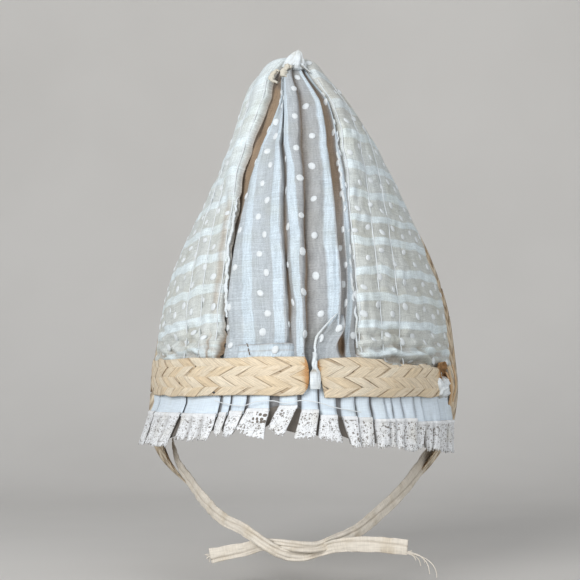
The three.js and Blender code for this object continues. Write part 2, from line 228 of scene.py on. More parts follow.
def make_striped_cloth(name, stripe, sheer, fold, stain):
    material, tree, shader, place = new_material(name, 0.9, 0.1)
    doubled = put(tree, "ShaderNodeAttribute", attribute_name="double").outputs["Fac"]
    colours = {"Place": place, "Shade": shade_of(tree), "Double": doubled, "Stripe": stripe, "Sheer": sheer,
               "Fold": fold, "Stain": stain}
    cloth = put(tree, "ShaderNodeGroup", colours, node_tree=MUSLIN)
    tree.links.new(cloth.outputs["Colour"], shader.inputs["Base Color"])
    raise_surface(tree, shader, cloth.outputs["Height"], 0.6, 0.0004)
    return material


# Brown in the depth of a fold: partly the colour behind the sheer cloth, partly painted shade.
FOLD_BROWN_AND_SHADE = (0.29, 0.21, 0.14, 1)
crown_muslin = make_striped_cloth(
    "crown muslin", (0.55, 0.635, 0.70, 1), (0.38, 0.40, 0.415, 1), FOLD_BROWN_AND_SHADE, (0.93, 0.91, 0.86, 1))
side_muslin = make_striped_cloth(
    "side muslin", (0.67, 0.75, 0.78, 1), (0.55, 0.575, 0.555, 1), FOLD_BROWN_AND_SHADE, (0.92, 0.90, 0.84, 1))
print("muslins:", crown_muslin.name, "and", side_muslin.name)

# %% [markdown]
# ## White cottons
# The curtain is a blue-white lawn, the lace a cream-white net, the tapes are a greyed cotton, and the dots
# and sewing threads are bright white. They share the weave, and the shade attribute darkens what is tucked
# away, as painted shade. The lace's holes could be cut in its mesh, but holes only a few faces wide come out
# square. They are painted dark instead, as the rounded cells of a Voronoi pattern, and that dark is painted
# shade, standing for what lies in shadow behind them.


# %% Cotton materials
# Each layer of holes: its scale, its least and most size, how much wider it gets in the open parts, its depth
HOLE_LAYERS = ((1.05, 0.18, 0.42, 0.1, 0.85), (2.2, 0.20, 0.50, 0.0, 0.6))
EYE_SCALE = 0.74
EYE_SIZE = 0.44
NO_EYE = -0.2


def pinholes(tree, place):
    """Holes in two sizes below a lace's heading, and large eyes where its open attribute is 1, all painted
    dark as painted shade.
    """
    opened = put(tree, "ShaderNodeAttribute", attribute_name="open").outputs["Fac"]
    patches = cloud(tree, place, 0.6, detail=2.0)
    eyes = put(tree, "ShaderNodeTexVoronoi", {"Vector": place, "Scale": EYE_SCALE, "Randomness": 0.5})
    large = ramp(tree, opened, 0.8, 1.0)
    eye_size = number(tree, "MULTIPLY_ADD", large, EYE_SIZE - NO_EYE, NO_EYE)
    inside = number(tree, "SUBTRACT", eye_size, eyes.outputs["Distance"])
    dark = ramp(tree, inside, -0.04, 0.06, 0.0, 0.95)
    between_eyes = number(tree, "SUBTRACT", 1.0, large)
    for scale, least, most, wider, depth in HOLE_LAYERS:
        nearest = put(tree, "ShaderNodeTexVoronoi", {"Vector": place, "Scale": scale, "Randomness": 0.85})
        size = number(tree, "MULTIPLY_ADD", opened, wider, ramp(tree, patches, 0.35, 0.65, least, most))
        inside = number(tree, "SUBTRACT", size, nearest.outputs["Distance"])
        hole = number(tree, "MULTIPLY", ramp(tree, inside, -0.05, 0.09, 0.0, depth), between_eyes)
        dark = number(tree, "MAXIMUM", dark, hole)
    below = ramp(tree, put(tree, "ShaderNodeSeparateXYZ", {0: place}).outputs[1], 0.6, 0.9)
    return number(tree, "MULTIPLY", dark, below)


def make_cotton(name, pale, deep, threads, bumps, stain=(1, 1, 1, 1), pierced=False):
    material, tree, shader, place = new_material(name, 0.92, 0.08)
    tone, height = woven(tree, place, threads)
    toned = blend(tree, 1.0, pale, tone, "MULTIPLY")
    patches = ramp(tree, cloud(tree, place, 0.12, detail=4.0), 0.45, 0.75)
    stained = blend(tree, patches, toned, blend(tree, 1.0, toned, stain, "MULTIPLY"))
    shade = shade_of(tree)
    if pierced:
        shade = number(tree, "MAXIMUM", shade, pinholes(tree, place))
    # Painted shade: the shade attribute, and a lace's painted holes, mix the colour towards deep.
    tree.links.new(blend(tree, shade, stained, deep), shader.inputs["Base Color"])
    raise_surface(tree, shader, height, bumps, 0.0003)
    return material


curtain_cotton = make_cotton("curtain cotton", (0.66, 0.75, 0.83, 1), (0.13, 0.11, 0.10, 1), 0.3, 0.4,
                             (0.95, 0.94, 0.91, 1))
lace_cotton = make_cotton("lace cotton", (0.75, 0.77, 0.79, 1), (0.13, 0.11, 0.09, 1), 0.5, 0.9,
                          (0.90, 0.88, 0.83, 1), pierced=True)
tape_cotton = make_cotton("tape cotton", (0.66, 0.61, 0.53, 1), (0.36, 0.31, 0.25, 1), 0.4, 0.6,
                          (0.84, 0.80, 0.73, 1))
white_thread = make_cotton("white thread", (0.69, 0.73, 0.75, 1), (0.4, 0.37, 0.32, 1), 0.25, 0.3)
edge_cotton = make_cotton("edge cotton", (0.68, 0.73, 0.76, 1), (0.27, 0.22, 0.15, 1), 0.45, 0.6,
                          (0.90, 0.87, 0.80, 1))
torn_muslin = make_cotton("torn muslin", (0.60, 0.57, 0.49, 1), (0.33, 0.26, 0.18, 1), 0.5, 0.7,
                          (0.9, 0.86, 0.78, 1))
dark_thread = make_cotton("dark thread", (0.16, 0.13, 0.10, 1), (0.1, 0.08, 0.06, 1), 0.3, 0.3)
print("cottons:", len(bpy.data.materials), "materials so far")

# %% [markdown]
# ## Straw
# Each strip of the plait is split straw, glossy and streaked along its length, and no two strips have the
# same tone. A material for each tone would be many materials. One attribute, the strand, picks the tone
# from a colour ramp instead, from orange at a worn end to pale, and the strip's own distances place the
# streaks.

# %% Straw material
STRAW_TONES = (
    (0.0, (0.58, 0.31, 0.13, 1)),
    (0.07, (0.67, 0.49, 0.30, 1)),
    (0.15, (0.74, 0.61, 0.43, 1)),
    (0.7, (0.76, 0.65, 0.49, 1)),
    (1.0, (0.79, 0.70, 0.55, 1)),
)


def make_straw():
    material, tree, shader, place = new_material("straw", 0.5)
    strand = put(tree, "ShaderNodeAttribute", attribute_name="strand").outputs["Fac"]
    tones = put(tree, "ShaderNodeValToRGB", {0: strand})
    stops = tones.color_ramp.elements
    while len(stops) < len(STRAW_TONES):
        stops.new(0.5)
    for stop, (position, colour) in zip(stops, STRAW_TONES):
        stop.position = position
        stop.color = colour
    streaks = cloud(tree, place, 1.0, (0.10, 2.2, 1), 4.0)
    fibres = cloud(tree, place, 1.0, (0.35, 5.0, 1), 3.0)
    specks = cloud(tree, place, 0.8, (0.5, 1, 1), 6.0)
    streaked = blend(tree, 1.0, tones.outputs[0], ramp(tree, streaks, 0.25, 0.75, 0.84, 1.08), "MULTIPLY")
    grained = blend(tree, 1.0, streaked, ramp(tree, fibres, 0.3, 0.7, 0.80, 1.10), "MULTIPLY")
    aged = blend(tree, ramp(tree, specks, 0.56, 0.72, 0.0, 0.45), grained, (0.42, 0.29, 0.16, 1))
    # Painted shade: the shade attribute mixes towards dark brown at strip edges, under crossings and in the
    # worn hole.
    tree.links.new(blend(tree, shade_of(tree), aged, (0.22, 0.13, 0.06, 1)), shader.inputs["Base Color"])
    tree.links.new(ramp(tree, streaks, 0.2, 0.8, 0.42, 0.7), shader.inputs["Roughness"])
    raise_surface(tree, shader, number(tree, "ADD", streaks, fibres), 0.6, 0.00025)
    return material


straw = make_straw()
print("straw tones:", len(STRAW_TONES))

# %% [markdown]
# ## Curves through a table
# The hood's shape is a short table of sections. A Catmull-Rom curve runs smoothly through evenly
# spaced rows. The folds of the cloth must not swing past their crests, so they use a curve that keeps
# between its values. All sizes are in millimetres until a mesh is made.


# %% Curves and noise
def through(values, at):
    """A smooth curve through values that stand one step apart, read at a number of steps."""
    values = np.asarray(values, float)
    at = np.clip(np.asarray(at, float), 0, len(values) - 1)
    step = np.minimum(at.astype(int), len(values) - 2)
    share = at - step
    ends = [2 * values[0] - values[1]], [2 * values[-1] - values[-2]]
    padded = np.concatenate([ends[0], values, ends[1]])
    before, first, second, after = (padded[step + i] for i in range(4))
    bend = share * (3 * (first - second) + after - before)
    slope = second - before + share * (2 * before - 5 * first + 4 * second - after + bend)
    return first + 0.5 * share * slope


def between(places, values, at):
    """A smooth curve through values at uneven places, that never swings past them."""
    places = np.asarray(places, float)
    values = np.asarray(values, float)
    at = np.clip(np.asarray(at, float), places[0], places[-1])
    gaps = np.diff(places)
    slopes = np.diff(values) / gaps
    same_way = slopes[:-1] * slopes[1:] > 0
    total = np.where(same_way, slopes[:-1] + slopes[1:], 1.0)
    tangents = np.zeros_like(values)
    tangents[1:-1] = np.where(same_way, 2 * slopes[:-1] * slopes[1:] / total, 0.0)
    i = np.clip(np.searchsorted(places, at) - 1, 0, len(gaps) - 1)
    t = (at - places[i]) / gaps[i]
    rise = t * t * (3 - 2 * t)
    start = t * (1 - t) ** 2 * gaps[i]
    end = t * t * (t - 1) * gaps[i]
    return values[i] + (values[i + 1] - values[i]) * rise + start * tangents[i] + end * tangents[i + 1]


def wrinkle(x, y, seed):
    """Smooth noise from -1 to 1 over a plane, with lumps one unit apart."""
    lattice = np.random.default_rng(seed).uniform(-1, 1, (89, 89))
    x, y = np.broadcast_arrays(np.asarray(x, float), np.asarray(y, float))
    column, row = np.floor(x).astype(int), np.floor(y).astype(int)
    right, up = x - column, y - row
    right, up = right * right * (3 - 2 * right), up * up * (3 - 2 * up)
    corners = [[lattice[(column + i) % 89, (row + j) % 89] for j in (0, 1)] for i in (0, 1)]
    low = corners[0][0] * (1 - right) + corners[1][0] * right
    high = corners[0][1] * (1 - right) + corners[1][1] * right
    return low * (1 - up) + high * up


def through_points(points, at):
    """A smooth line through points that stand one step apart."""
    return np.stack([through(points[:, axis], at) for axis in range(points.shape[1])], axis=-1)


def frame_along(line, outwards):
    """The directions across a line and out of it, from a rough direction outwards."""
    forwards = np.gradient(line, axis=0)
    forwards /= np.linalg.norm(forwards, axis=1, keepdims=True)
    across = np.cross(outwards, forwards)
    across /= np.linalg.norm(across, axis=1, keepdims=True)
    return across, np.cross(forwards, across)


def normals_of(points):
    """The direction in which each point of a bent grid faces."""
    faced = np.cross(np.gradient(points, axis=0), np.gradient(points, axis=1))
    return faced / np.maximum(np.linalg.norm(faced, axis=-1, keepdims=True), 1e-9)


def lifted(points, height):
    """A bent grid moved outwards by a height at each point."""
    return points + normals_of(points) * np.asarray(height)[..., None]


def lengths_along(points):
    """The distance walked so far along a line of points, or along each row of a grid's second axis."""
    steps = np.linalg.norm(np.diff(points, axis=-2), axis=-1)
    start = np.zeros(steps.shape[:-1] + (1,))
    return np.concatenate([start, np.cumsum(steps, axis=-1)], axis=-1)


# %% [markdown]
# ## The hood
# A station is one row of the table, from the ridge over the peak (0) past the rim at the band (9) to the
# tips of the ears (12). A turn goes round the section from the middle of the back (0) to the front edge (1),
# with the wearer's right positive. An arch counts stations from the left foot over the ridge to the right
# one. The same table gave the solids their shape, so the cloth lies on them with nothing to fit.

# %% Hood sections
HOOD_COLUMNS = ("z", "half", "back", "front", "seam", "lean")
HOOD = np.array((
    (126, 0, 8, 18, 0.25, -2),
    (124.8, 7.6, 6.5, 18.5, 0.27, -3.2),
    (119.4, 13.9, 3.5, 20, 0.31, -4.2),
    (108.8, 20.6, -3, 23.5, 0.37, -2.2),
    (92.3, 28.6, -12.5, 29, 0.395, -0.3),
    (74, 37.6, -22, 35, 0.38, -0.3),
    (54, 47.8, -29.5, 40, 0.352, -0.9),
    (34, 54.3, -34.5, 42.5, 0.33, -1.1),
    (14, 56.8, -37, 42.5, 0.312, -1),
    (0, 57.2, -37.5, 41, 0.47, -0.6),
    (-14, 55.8, -37.5, 38, 0.8, -1.6),
    (-25, 50.4, -37, 33.5, 0.84, -2.4),
    (-34, 42, -36, 29, 0.88, -2.6),
))
ROUNDNESS = 1.85
RIM = 9
EAR_TIP = 12
OVER_THE_RIDGE = np.concatenate([HOOD[:0:-1] * (1, -1, 1, 1, 1, 1), HOOD])


def section(station, column):
    """One measure of the hood's section at a station."""
    return through(OVER_THE_RIDGE[:, HOOD_COLUMNS.index(column)], np.asarray(station) + EAR_TIP)


def hood(station, turn):
    """Places on the straw's outer face."""
    station, turn = np.broadcast_arrays(np.asarray(station, float), np.asarray(turn, float))
    angle = np.abs(turn) * math.pi / 2
    sideways = np.sin(angle) ** (2 / ROUNDNESS)
    backwards_share = np.maximum(np.cos(angle), 0) ** (2 / ROUNDNESS)
    front, back = section(station, "front"), section(station, "back")
    x = section(station, "lean") + np.sign(turn) * section(station, "half") * sideways
    y = front - (front - back) * backwards_share
    return np.stack([x, y, section(station, "z")], axis=-1)


def arched(arch, turn):
    """Places over the ridge, from the left foot (below 0) to the right one."""
    return hood(np.abs(arch), np.where(np.asarray(arch) < 0, -1.0, 1.0) * turn)


STATIONS = np.linspace(0, RIM, 361)
HEIGHTS = section(STATIONS, "z")


def station_at(z):
    """The station whose section lies at a height above the rim."""
    return np.interp(-np.asarray(z, float), -HEIGHTS, STATIONS)


SEAM_SWING = 0.1


def seam(station, side):
    """The turn of the seam between crown and sides. Near the peak both seams swing to the right."""
    station = np.asarray(station, float)
    swing = SEAM_SWING * np.clip((4.1 - np.abs(station)) / 1.1, 0, 1)
    return section(np.abs(station), "seam") + side * swing


def crown_turn(station, share):
    """The turn that lies a share of the way across the crown, from its left seam to its right one."""
    level = np.minimum(station, RIM - 1)
    left, right = -seam(level, -1), seam(level, 1)
    return left + (right - left) * share


print("hood", HEIGHTS.max(), "mm high above its band")

# %% [markdown]
# ## Bent grids and threads
# Cloth is a flat grid that is bent to its place, as cloth is. Each grid carries its cloth distances as a UV
# map and its depth in the folds as an attribute, which its material paints as shade, and a Solidify modifier
# gives it its thickness. Threads are curves with a round bevel, made meshes at once. A rolled edge is a grid
# too, bent round into an uneven tube.


# %% Piece helpers
def take_in(piece, material, nodes=()):
    """Puts a finished piece in the scene, on the one body of the bonnet."""
    bpy.context.collection.objects.link(piece)
    piece.data.materials.append(material)
    piece.data.shade_smooth()
    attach(piece, "root")
    if nodes:
        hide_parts(*nodes)
    print(piece.name, len(piece.data.polygons), "faces")
    return piece


def lay_grid(bm, points, cloth, marks):
    """Adds a flat grid to a bmesh and bends it to its points."""
    columns, rows = points.shape[:2]
    uv_layer = bm.loops.layers.uv.get("cloth") or bm.loops.layers.uv.new("cloth")
    layers = {name: bm.verts.layers.float.get(name) or bm.verts.layers.float.new(name) for name in marks}
    made = bmesh.ops.create_grid(bm, x_segments=columns - 1, y_segments=rows - 1, size=0.5)["verts"]
    spots = {}
    for vert in made:
        i = round((vert.co.x + 0.5) * (columns - 1))
        j = round((vert.co.y + 0.5) * (rows - 1))
        spots[vert] = cloth[i, j]
        vert.co = points[i, j] * MM
        for name, values in marks.items():
            vert[layers[name]] = values[i, j]
    for face in {face for vert in made for face in vert.link_faces}:
        for loop in face.loops:
            loop[uv_layer].uv = spots[loop.vert]


def take_out(bm, mark, most):
    """Deletes the faces whose corners carry more of a mark than most, and the points left over."""
    layer = bm.verts.layers.float[mark]
    gone = [face for face in bm.faces if sum(vert[layer] for vert in face.verts) > most]
    bmesh.ops.delete(bm, geom=gone, context="FACES")
    bmesh.ops.delete(bm, geom=[vert for vert in bm.verts if not vert.link_faces], context="VERTS")
    bm.verts.layers.float.remove(layer)


def thicken(piece, thickness, offset=-1.0):
    """Gives a sheet its thickness, inwards unless told otherwise."""
    wall = piece.modifiers.new("thickness", "SOLIDIFY")
    wall.thickness = thickness * MM
    wall.offset = offset
    return piece


def as_object(bm, name):
    """Turns a finished bmesh into an object at the origin."""
    mesh = bpy.data.meshes.new(name)
    bm.to_mesh(mesh)
    bm.free()
    return bpy.data.objects.new(name, mesh)


def cloth_sheet(name, points, cloth, shade, thickness, offset=-1.0, double=0.0):
    """One bent and thickened sheet of cloth, with its marks for painted shade and for doubled cloth."""
    bm = bmesh.new()
    flat = np.zeros(points.shape[:2])
    marks = {"shade": np.clip(flat + shade, 0, 1), "double": np.clip(flat + double, 0, 1)}
    lay_grid(bm, points, cloth, marks)
    return thicken(as_object(bm, name), thickness, offset)


def threads(name, paths, radius):
    """Round threads along paths, joined in one mesh."""
    curve = bpy.data.curves.new(name, "CURVE")
    curve.dimensions = "3D"
    curve.bevel_depth = radius * MM
    curve.bevel_resolution = 1
    curve.use_fill_caps = True
    for path in paths:
        spline = curve.splines.new("POLY")
        spline.points.add(len(path) - 1)
        for point, place in zip(spline.points, path):
            point.co = (*(np.asarray(place) * MM), 1)
    holder = bpy.data.objects.new(name + " line", curve)
    mesh = bpy.data.meshes.new_from_object(holder)
    mesh.name = name
    bpy.data.objects.remove(holder)
    mesh.uv_layers.new(name="cloth")
    return bpy.data.objects.new(name, mesh)


HOOD_MIDDLE = (0, 20, 30)
ROLL_STEPS = 12


def rolled(name, path, radii, flat=0.6, seed=1, stray=0.0, lumpy=0.25, sides=14):
    """A loosely rolled edge: an uneven tube that strays a little, flattened towards its cloth."""
    path = np.asarray(path, float)
    at = np.linspace(0, len(path) - 1, ROLL_STEPS * len(path))
    line = through_points(path, at)
    size = between(np.arange(len(radii)), radii, at * (len(radii) - 1) / (len(path) - 1))
    across, out = frame_along(line, line - HOOD_MIDDLE)
    walked = lengths_along(line)
    line = line + stray * (wrinkle(walked / 1.7, 3.4, seed)[:, None] * across
                           + wrinkle(walked / 1.4, 8.6, seed)[:, None] * out)
    angle = np.linspace(0, 2 * math.pi, sides + 1)[:, None]
    lumps = 1 + lumpy * wrinkle(np.cos(angle) * 1.5 + 7, walked[None, :] * 1.4, seed)
    reach = (size[None, :] * lumps)[..., None]
    points = line[None] + reach * (np.cos(angle)[..., None] * across[None]
                                   + flat * np.sin(angle)[..., None] * out[None])
    cloth = np.stack(np.broadcast_arrays(angle * size.mean(), walked[None, :]), axis=-1)
    # Painted shade on the side of the roll that faces its cloth.
    shade = np.clip(-0.6 * np.sin(angle) + 0 * size[None, :], 0, 1)
    bm = bmesh.new()
    lay_grid(bm, points, cloth, {"shade": shade})
    bmesh.ops.remove_doubles(bm, verts=bm.verts, dist=1e-6)
    bmesh.ops.holes_fill(bm, edges=bm.edges, sides=0)
    bmesh.ops.recalc_face_normals(bm, faces=bm.faces)
    return as_object(bm, name)


# %% [markdown]
# ## Ties
# Two cotton tapes start inside the ears, run round the neck and cross in a half knot at the nape. Their free
# ends are short and frayed. A tape could be simulated, but the knot would never lie as it should. So each
# route is the route of its solid, with the way the tape faces and the width it is crushed to. Along it, the
# tape is creased once lengthwise, and gathered where it is narrow.

# %% Tie routes
TIE_COLUMNS = ("x", "y", "z", "facing", "width")
TIE_RIGHT = np.array((
    (49.5, 31, -18, -25, 5),
    (45, 23, -24.2, -40, 5),
    (38.8, 9, -32.6, -55, 5),
    (31, -6, -40, -64, 5),
    (23.8, -19, -45.4, -70, 4.6),
    (16.5, -28, -48.2, -76, 4.0),
    (10.5, -32.2, -50, -86, 3.6),
    (4, -33.6, -49.8, -90, 3.6),
    (-2, -32.2, -49.4, -94, 3.6),
    (-8, -30, -49.8, -98, 4.0),
    (-15, -29.2, -51.6, -98, 4.6),
    (-26.4, -28.6, -54, -96, 5),
))
TIE_LEFT = np.array((
    (-52, 30, -17.5, 192, 5),
    (-47.6, 20.5, -25, 200, 5),
    (-41, 9, -30.8, 210, 5),
    (-33, -6, -36.4, 222, 5),
    (-24, -20, -41.6, 238, 4.6),
    (-15, -28.4, -44.8, 254, 4.2),
    (-8, -32.8, -48.6, 264, 3.8),
    (-1, -33.2, -52.2, 270, 3.6),
    (5, -31.6, -53.2, 272, 3.6),
    (11, -30.2, -51.6, 274, 3.8),
    (17, -31, -49.8, 276, 4.4),
    (24, -32.6, -49.0, 274, 5.0),
    (32, -34.2, -48.8, 272, 5.2),
    (41.6, -36, -49.4, 270, 5.2),
))
TIE_WIDTH = 5
TAPE_WALL = 0.4
TAPE_COLUMNS = 17
TAPE_STEPS = 16


def tape_tie(name, route, seed):
    """A tape along its route, with the line down its middle and its length."""
    at = np.linspace(0, len(route) - 1, TAPE_STEPS * (len(route) - 1) + 1)
    line = through_points(route[:, :3], at)
    facing = np.radians(through(route[:, TIE_COLUMNS.index("facing")], at))
    width = through(route[:, TIE_COLUMNS.index("width")], at)
    across, out = frame_along(line, np.stack([np.cos(facing), np.sin(facing), 0 * facing], axis=-1))
    share = np.linspace(-0.5, 0.5, TAPE_COLUMNS)[:, None]
    walked = lengths_along(line)[None, :]
    crushed = np.clip(1 - width[None, :] / TIE_WIDTH, 0, 1)
    crease_at = 0.1 + 0.16 * np.sin(walked / 21 + seed)
    crease = np.exp(-((share - crease_at) / 0.06) ** 2)
    gathers = crushed * (np.cos(share * 19 + walked / 7) + wrinkle(share * 5, walked / 2.4, seed + 2))
    uneven = 0.32 * wrinkle(share * 3, walked / 3.2, seed)
    uneven = uneven + 0.14 * wrinkle(share * 7, walked / 1.3, seed + 3)
    height = 0.35 * np.cos(share * math.pi) - 0.4 * crease + 0.7 * gathers + uneven
    ragged = 1 + 0.05 * wrinkle(walked / 2.1, np.sign(share) * 3 + 9, seed + 1)
    aside = share * width[None, :] * ragged
    points = line[None] + aside[..., None] * across[None] + height[..., None] * out[None]
    cloth = np.stack(np.broadcast_arrays(share * TIE_WIDTH, walked), axis=-1)
    # Painted shade in the lengthwise crease and in the hollows of the gathers.
    shade = 0.6 * crease + 0.9 * np.clip(-gathers, 0, 1)
    piece = cloth_sheet(name, points, cloth, shade, TAPE_WALL, 0.0)
    return piece, line, lengths_along(line)[-1]


# %% Tie pieces
FRAY_LEFT = (
    (10.4, -0.8, -7.8), (8.0, -1.2, -7.2), (6.4, -0.2, -3.4),
    (5.0, 0.5, -4.2), (3.4, -0.6, -2.2), (2.2, 0.3, 0.4),
)
FRAY_RIGHT = (
    (-2.6, -0.4, -0.4), (-1.6, 0.2, -1.4), (-2.2, -0.2, 0.6), (-1.2, 0.4, -2.0), (-1.9, -0.5, -0.9),
)


def fray(name, end, reaches, drop, seed):
    """Loose threads at a tape's torn end, each running out and drooping to its own reach."""
    draw = np.random.default_rng(seed)
    walk = np.linspace(0, 1, 13)[:, None]
    paths = []
    for reach in reaches:
        reach = np.array(reach)
        aside = draw.uniform(-0.2, 0.2)
        down = drop + draw.uniform(-0.7, 0.7)
        start = end + np.array((-0.8 * np.sign(reach[0]), aside, down))
        ahead = start + reach * (1, 1, 0.12)
        paths.append(start * (1 - walk) ** 2 + 2 * ahead * walk * (1 - walk) + (start + reach) * walk ** 2)
    return threads(name, paths, 0.16)


for side, route, reaches, drop, seed in (
        ("left", TIE_LEFT, FRAY_LEFT, -1.4, 3), ("right", TIE_RIGHT, FRAY_RIGHT, 0.0, 8)):
    tie, tie_line, tie_length = tape_tie("tape_" + side, route, seed)
    take_in(tie, tape_cotton, ["tie_" + side])
    frayed = fray("fray_" + side, tie_line[-1], reaches, drop, seed)
    take_in(frayed, tape_cotton)

# %% [markdown]
# ## Straw plait
# A plait is two sets of flat strips that cross and go over two and under two, so at each distance from the
# edge the same set is always on top. That is what makes the arrowheads. A bump map would show them only from
# the front, so every strip is a small bent grid. One function says where a distance along, a distance across
# and a height lie, another says where the plait is cut at its two ends, and a third what is kept.

# %% Plait helper
STRIP_PITCH = 6.0
STRIP_SLOPE = 0.6
STRIP_FILL = 1.03
LEAST_SHOWN = 0.04


def plait(name, lie, length, width, lift, steps, beside, seed, keep, ends, wall, tips=0.0, reach=4.5):
    """Strips of straw over a band whose lie(along, across, height) gives places.

    tips lowers the strand's tone towards both ends, within reach of them, for ends turned orange; a negative
    tips raises it, as painted light.
    """
    draw = np.random.default_rng(seed)
    bm = bmesh.new()
    share = np.linspace(0, 1, steps + 1)[None, :]
    beside = np.array(beside)[:, None]
    run = width / STRIP_SLOPE
    across = share * width + 0 * beside
    crossing = (2 * across - width) / (STRIP_PITCH * STRIP_SLOPE)
    for way in (1, -1):
        for strip in range(int(-run / STRIP_PITCH) - 1, int((length + run) / STRIP_PITCH) + 2):
            middle = (strip + draw.uniform(-0.14, 0.14)) * STRIP_PITCH
            tone = draw.uniform(0.11, 1)
            tilt = draw.uniform(-0.08, 0.08)
            lean = draw.uniform(0.9, 1.12)
            edge_shade_strength = draw.uniform(0.3, 1.1)
            bow = 0.6 * wrinkle(share * 2.2, strip * 1.7 + 3 * way + 40, seed)
            along = middle + way * (across - width / 2) / STRIP_SLOPE * lean + bow
            along = along + beside * STRIP_PITCH * STRIP_FILL
            over = way * np.tanh(3.5 * np.sin(crossing * math.pi / 2))
            turned = np.clip(1 - 4.5 * np.minimum(share, 1 - share) * width / STRIP_PITCH, 0, 1)
            height = lift * over + 0.06 * (1 - 4 * beside ** 2) + tilt * beside - lift * turned
            start, stop = ends(across)
            shown = (along > start) & (along < stop) & keep(along, across)
            if shown.mean() < LEAST_SHOWN:
                continue
            along = np.clip(along, start, stop)
            near_end = np.clip(1 - np.minimum(along, length - along) / reach, 0, 1)
            points = lie(along, across, height)
            cloth = np.stack([across * 1.9 + 37 * tone, beside * 3.4 + 11 * tone + 0 * across], axis=-1)
            # Painted shade along each strip's edges, at a random strength, and where the strip passes under
            # the other set.
            rim = edge_shade_strength * (np.abs(beside) > 0.48) + 0.5 * (over < -0.3)
            strand = tone * (1 - tips * near_end) + 0 * across
            marks = {"shade": 0.8 * rim + 0 * across, "strand": strand, "gone": 1.0 - shown}
            lay_grid(bm, points, cloth, marks)
    take_out(bm, "gone", 3.5)
    bmesh.ops.recalc_face_normals(bm, faces=bm.faces)
    return thicken(as_object(bm, name), wall, 0.0)


# %% [markdown]
# ## Straw brim
# The hood itself is plait sewn in rows that follow the front edge. Only the row at the edge goes over the
# ridge whole: the others end at the crown's seam, where the hood is less deep. Outside, the muslin hides
# nearly all of it. It shows at the front edge, at the ears, and all over the inside, so it is plaited there
# too.

# %% Straw brim
ROW_STEP = 10.4
ROW_WIDTH = 12
STRAW_WALL = 1.2
BRIM_ROWS = 8
BRIM_ACROSS = (-0.5, 0, 0.5)
FLARE_AT = (-12, -10.8, -9.6, -8.4, -7.0, -5.6, 4.6, 5.6, 8.6, 9.8, 12)
FLARE = (-1.2, -4.6, -6.2, -5.6, -3.0, 0, 0, 1.6, 2.0, 1.4, 0.5)
FLARE_REACH = 7.0
SEAM_CLEARANCE = 3.2
# The edge row is painted lighter towards the ears: painted light on straw that faces away from the lamps.
EDGE_PAINTED_LIGHT = -1.5
EDGE_PAINTED_LIGHT_REACH = 60
ARCH_STEPS = np.linspace(-EAR_TIP, EAR_TIP, 241)
TURN_STEPS = np.linspace(1, 0.2, 81)
brim_grid = arched(ARCH_STEPS[:, None], TURN_STEPS[None, :])
from_edge = lengths_along(brim_grid)
edge_walk = lengths_along(brim_grid[:, 0])
seam_turns = seam(ARCH_STEPS, np.sign(ARCH_STEPS))
depth_to_seam = np.array([np.interp(-turn, -TURN_STEPS, row) for turn, row in zip(seam_turns, from_edge)])


def on_brim(along, inwards, height):
    """Places on the hood by the walk along the front edge and the distance in from it."""
    arch = np.interp(along, edge_walk, ARCH_STEPS)
    spot = (arch + EAR_TIP) * (len(ARCH_STEPS) - 1) / (2 * EAR_TIP)
    low = np.clip(spot.astype(int), 0, len(ARCH_STEPS) - 2)
    share = spot - low
    turn = np.empty_like(arch)
    for index in np.ndindex(arch.shape):
        i, t = low[index], share[index]
        row = from_edge[i] * (1 - t) + from_edge[i + 1] * t
        turn[index] = np.interp(inwards[index], row, TURN_STEPS)
    points = arched(arch, turn)
    points[..., 0] += np.interp(arch, FLARE_AT, FLARE) * np.clip(1 - inwards / FLARE_REACH, 0, 1) ** 1.5
    middle = np.array((-1.0, 14.0, 30.0))
    out = points - middle
    out[..., 2] *= 0.35
    out /= np.linalg.norm(out, axis=-1, keepdims=True)
    return points + out * (height - STRAW_WALL / 2)[..., None]


def make_brim_row(row):
    start = row * ROW_STEP

    def deepest(along):
        return np.interp(along, edge_walk, depth_to_seam) - SEAM_CLEARANCE

    def lie(along, across, height):
        inwards = np.clip(start + across, 0, np.maximum(deepest(along), 0.5))
        return on_brim(along, inwards, 0.55 * height - 0.25 * (across / ROW_WIDTH - 0.5))

    def keep(along, across):
        return start + across < deepest(along)

    def ends(across):
        return 0.0, edge_walk[-1]

    # Painted light on the edge row near the ears.
    painted_light = EDGE_PAINTED_LIGHT if row == 0 else 0.0
    return plait(
        "brim_row_%d" % row, lie, edge_walk[-1], ROW_WIDTH, lift=0.3, steps=8, beside=BRIM_ACROSS,
        seed=40 + row, keep=keep, ends=ends, wall=0.3, tips=painted_light, reach=EDGE_PAINTED_LIGHT_REACH)


brim_rows = [make_brim_row(row) for row in range(BRIM_ROWS)]
for row, piece in enumerate(brim_rows):
    take_in(piece, straw, ["straw_brim"] if row == 0 else [])

# %% [markdown]
# ## Muslin over the brim
# One piece of muslin goes over the straw from the left foot across the ridge to the right foot. Its stripes
# lie level on the right and slope on the left. It is drawn down where it is sewn to the straw, puffs between
# those lines, rolls over into the crown's seam, and is crumpled above the band. A simulation would choose its
# own folds, so the heights are added up from named folds and noise. The edge tables say how far across
# the crown the cover's rolled edge lies at each height.

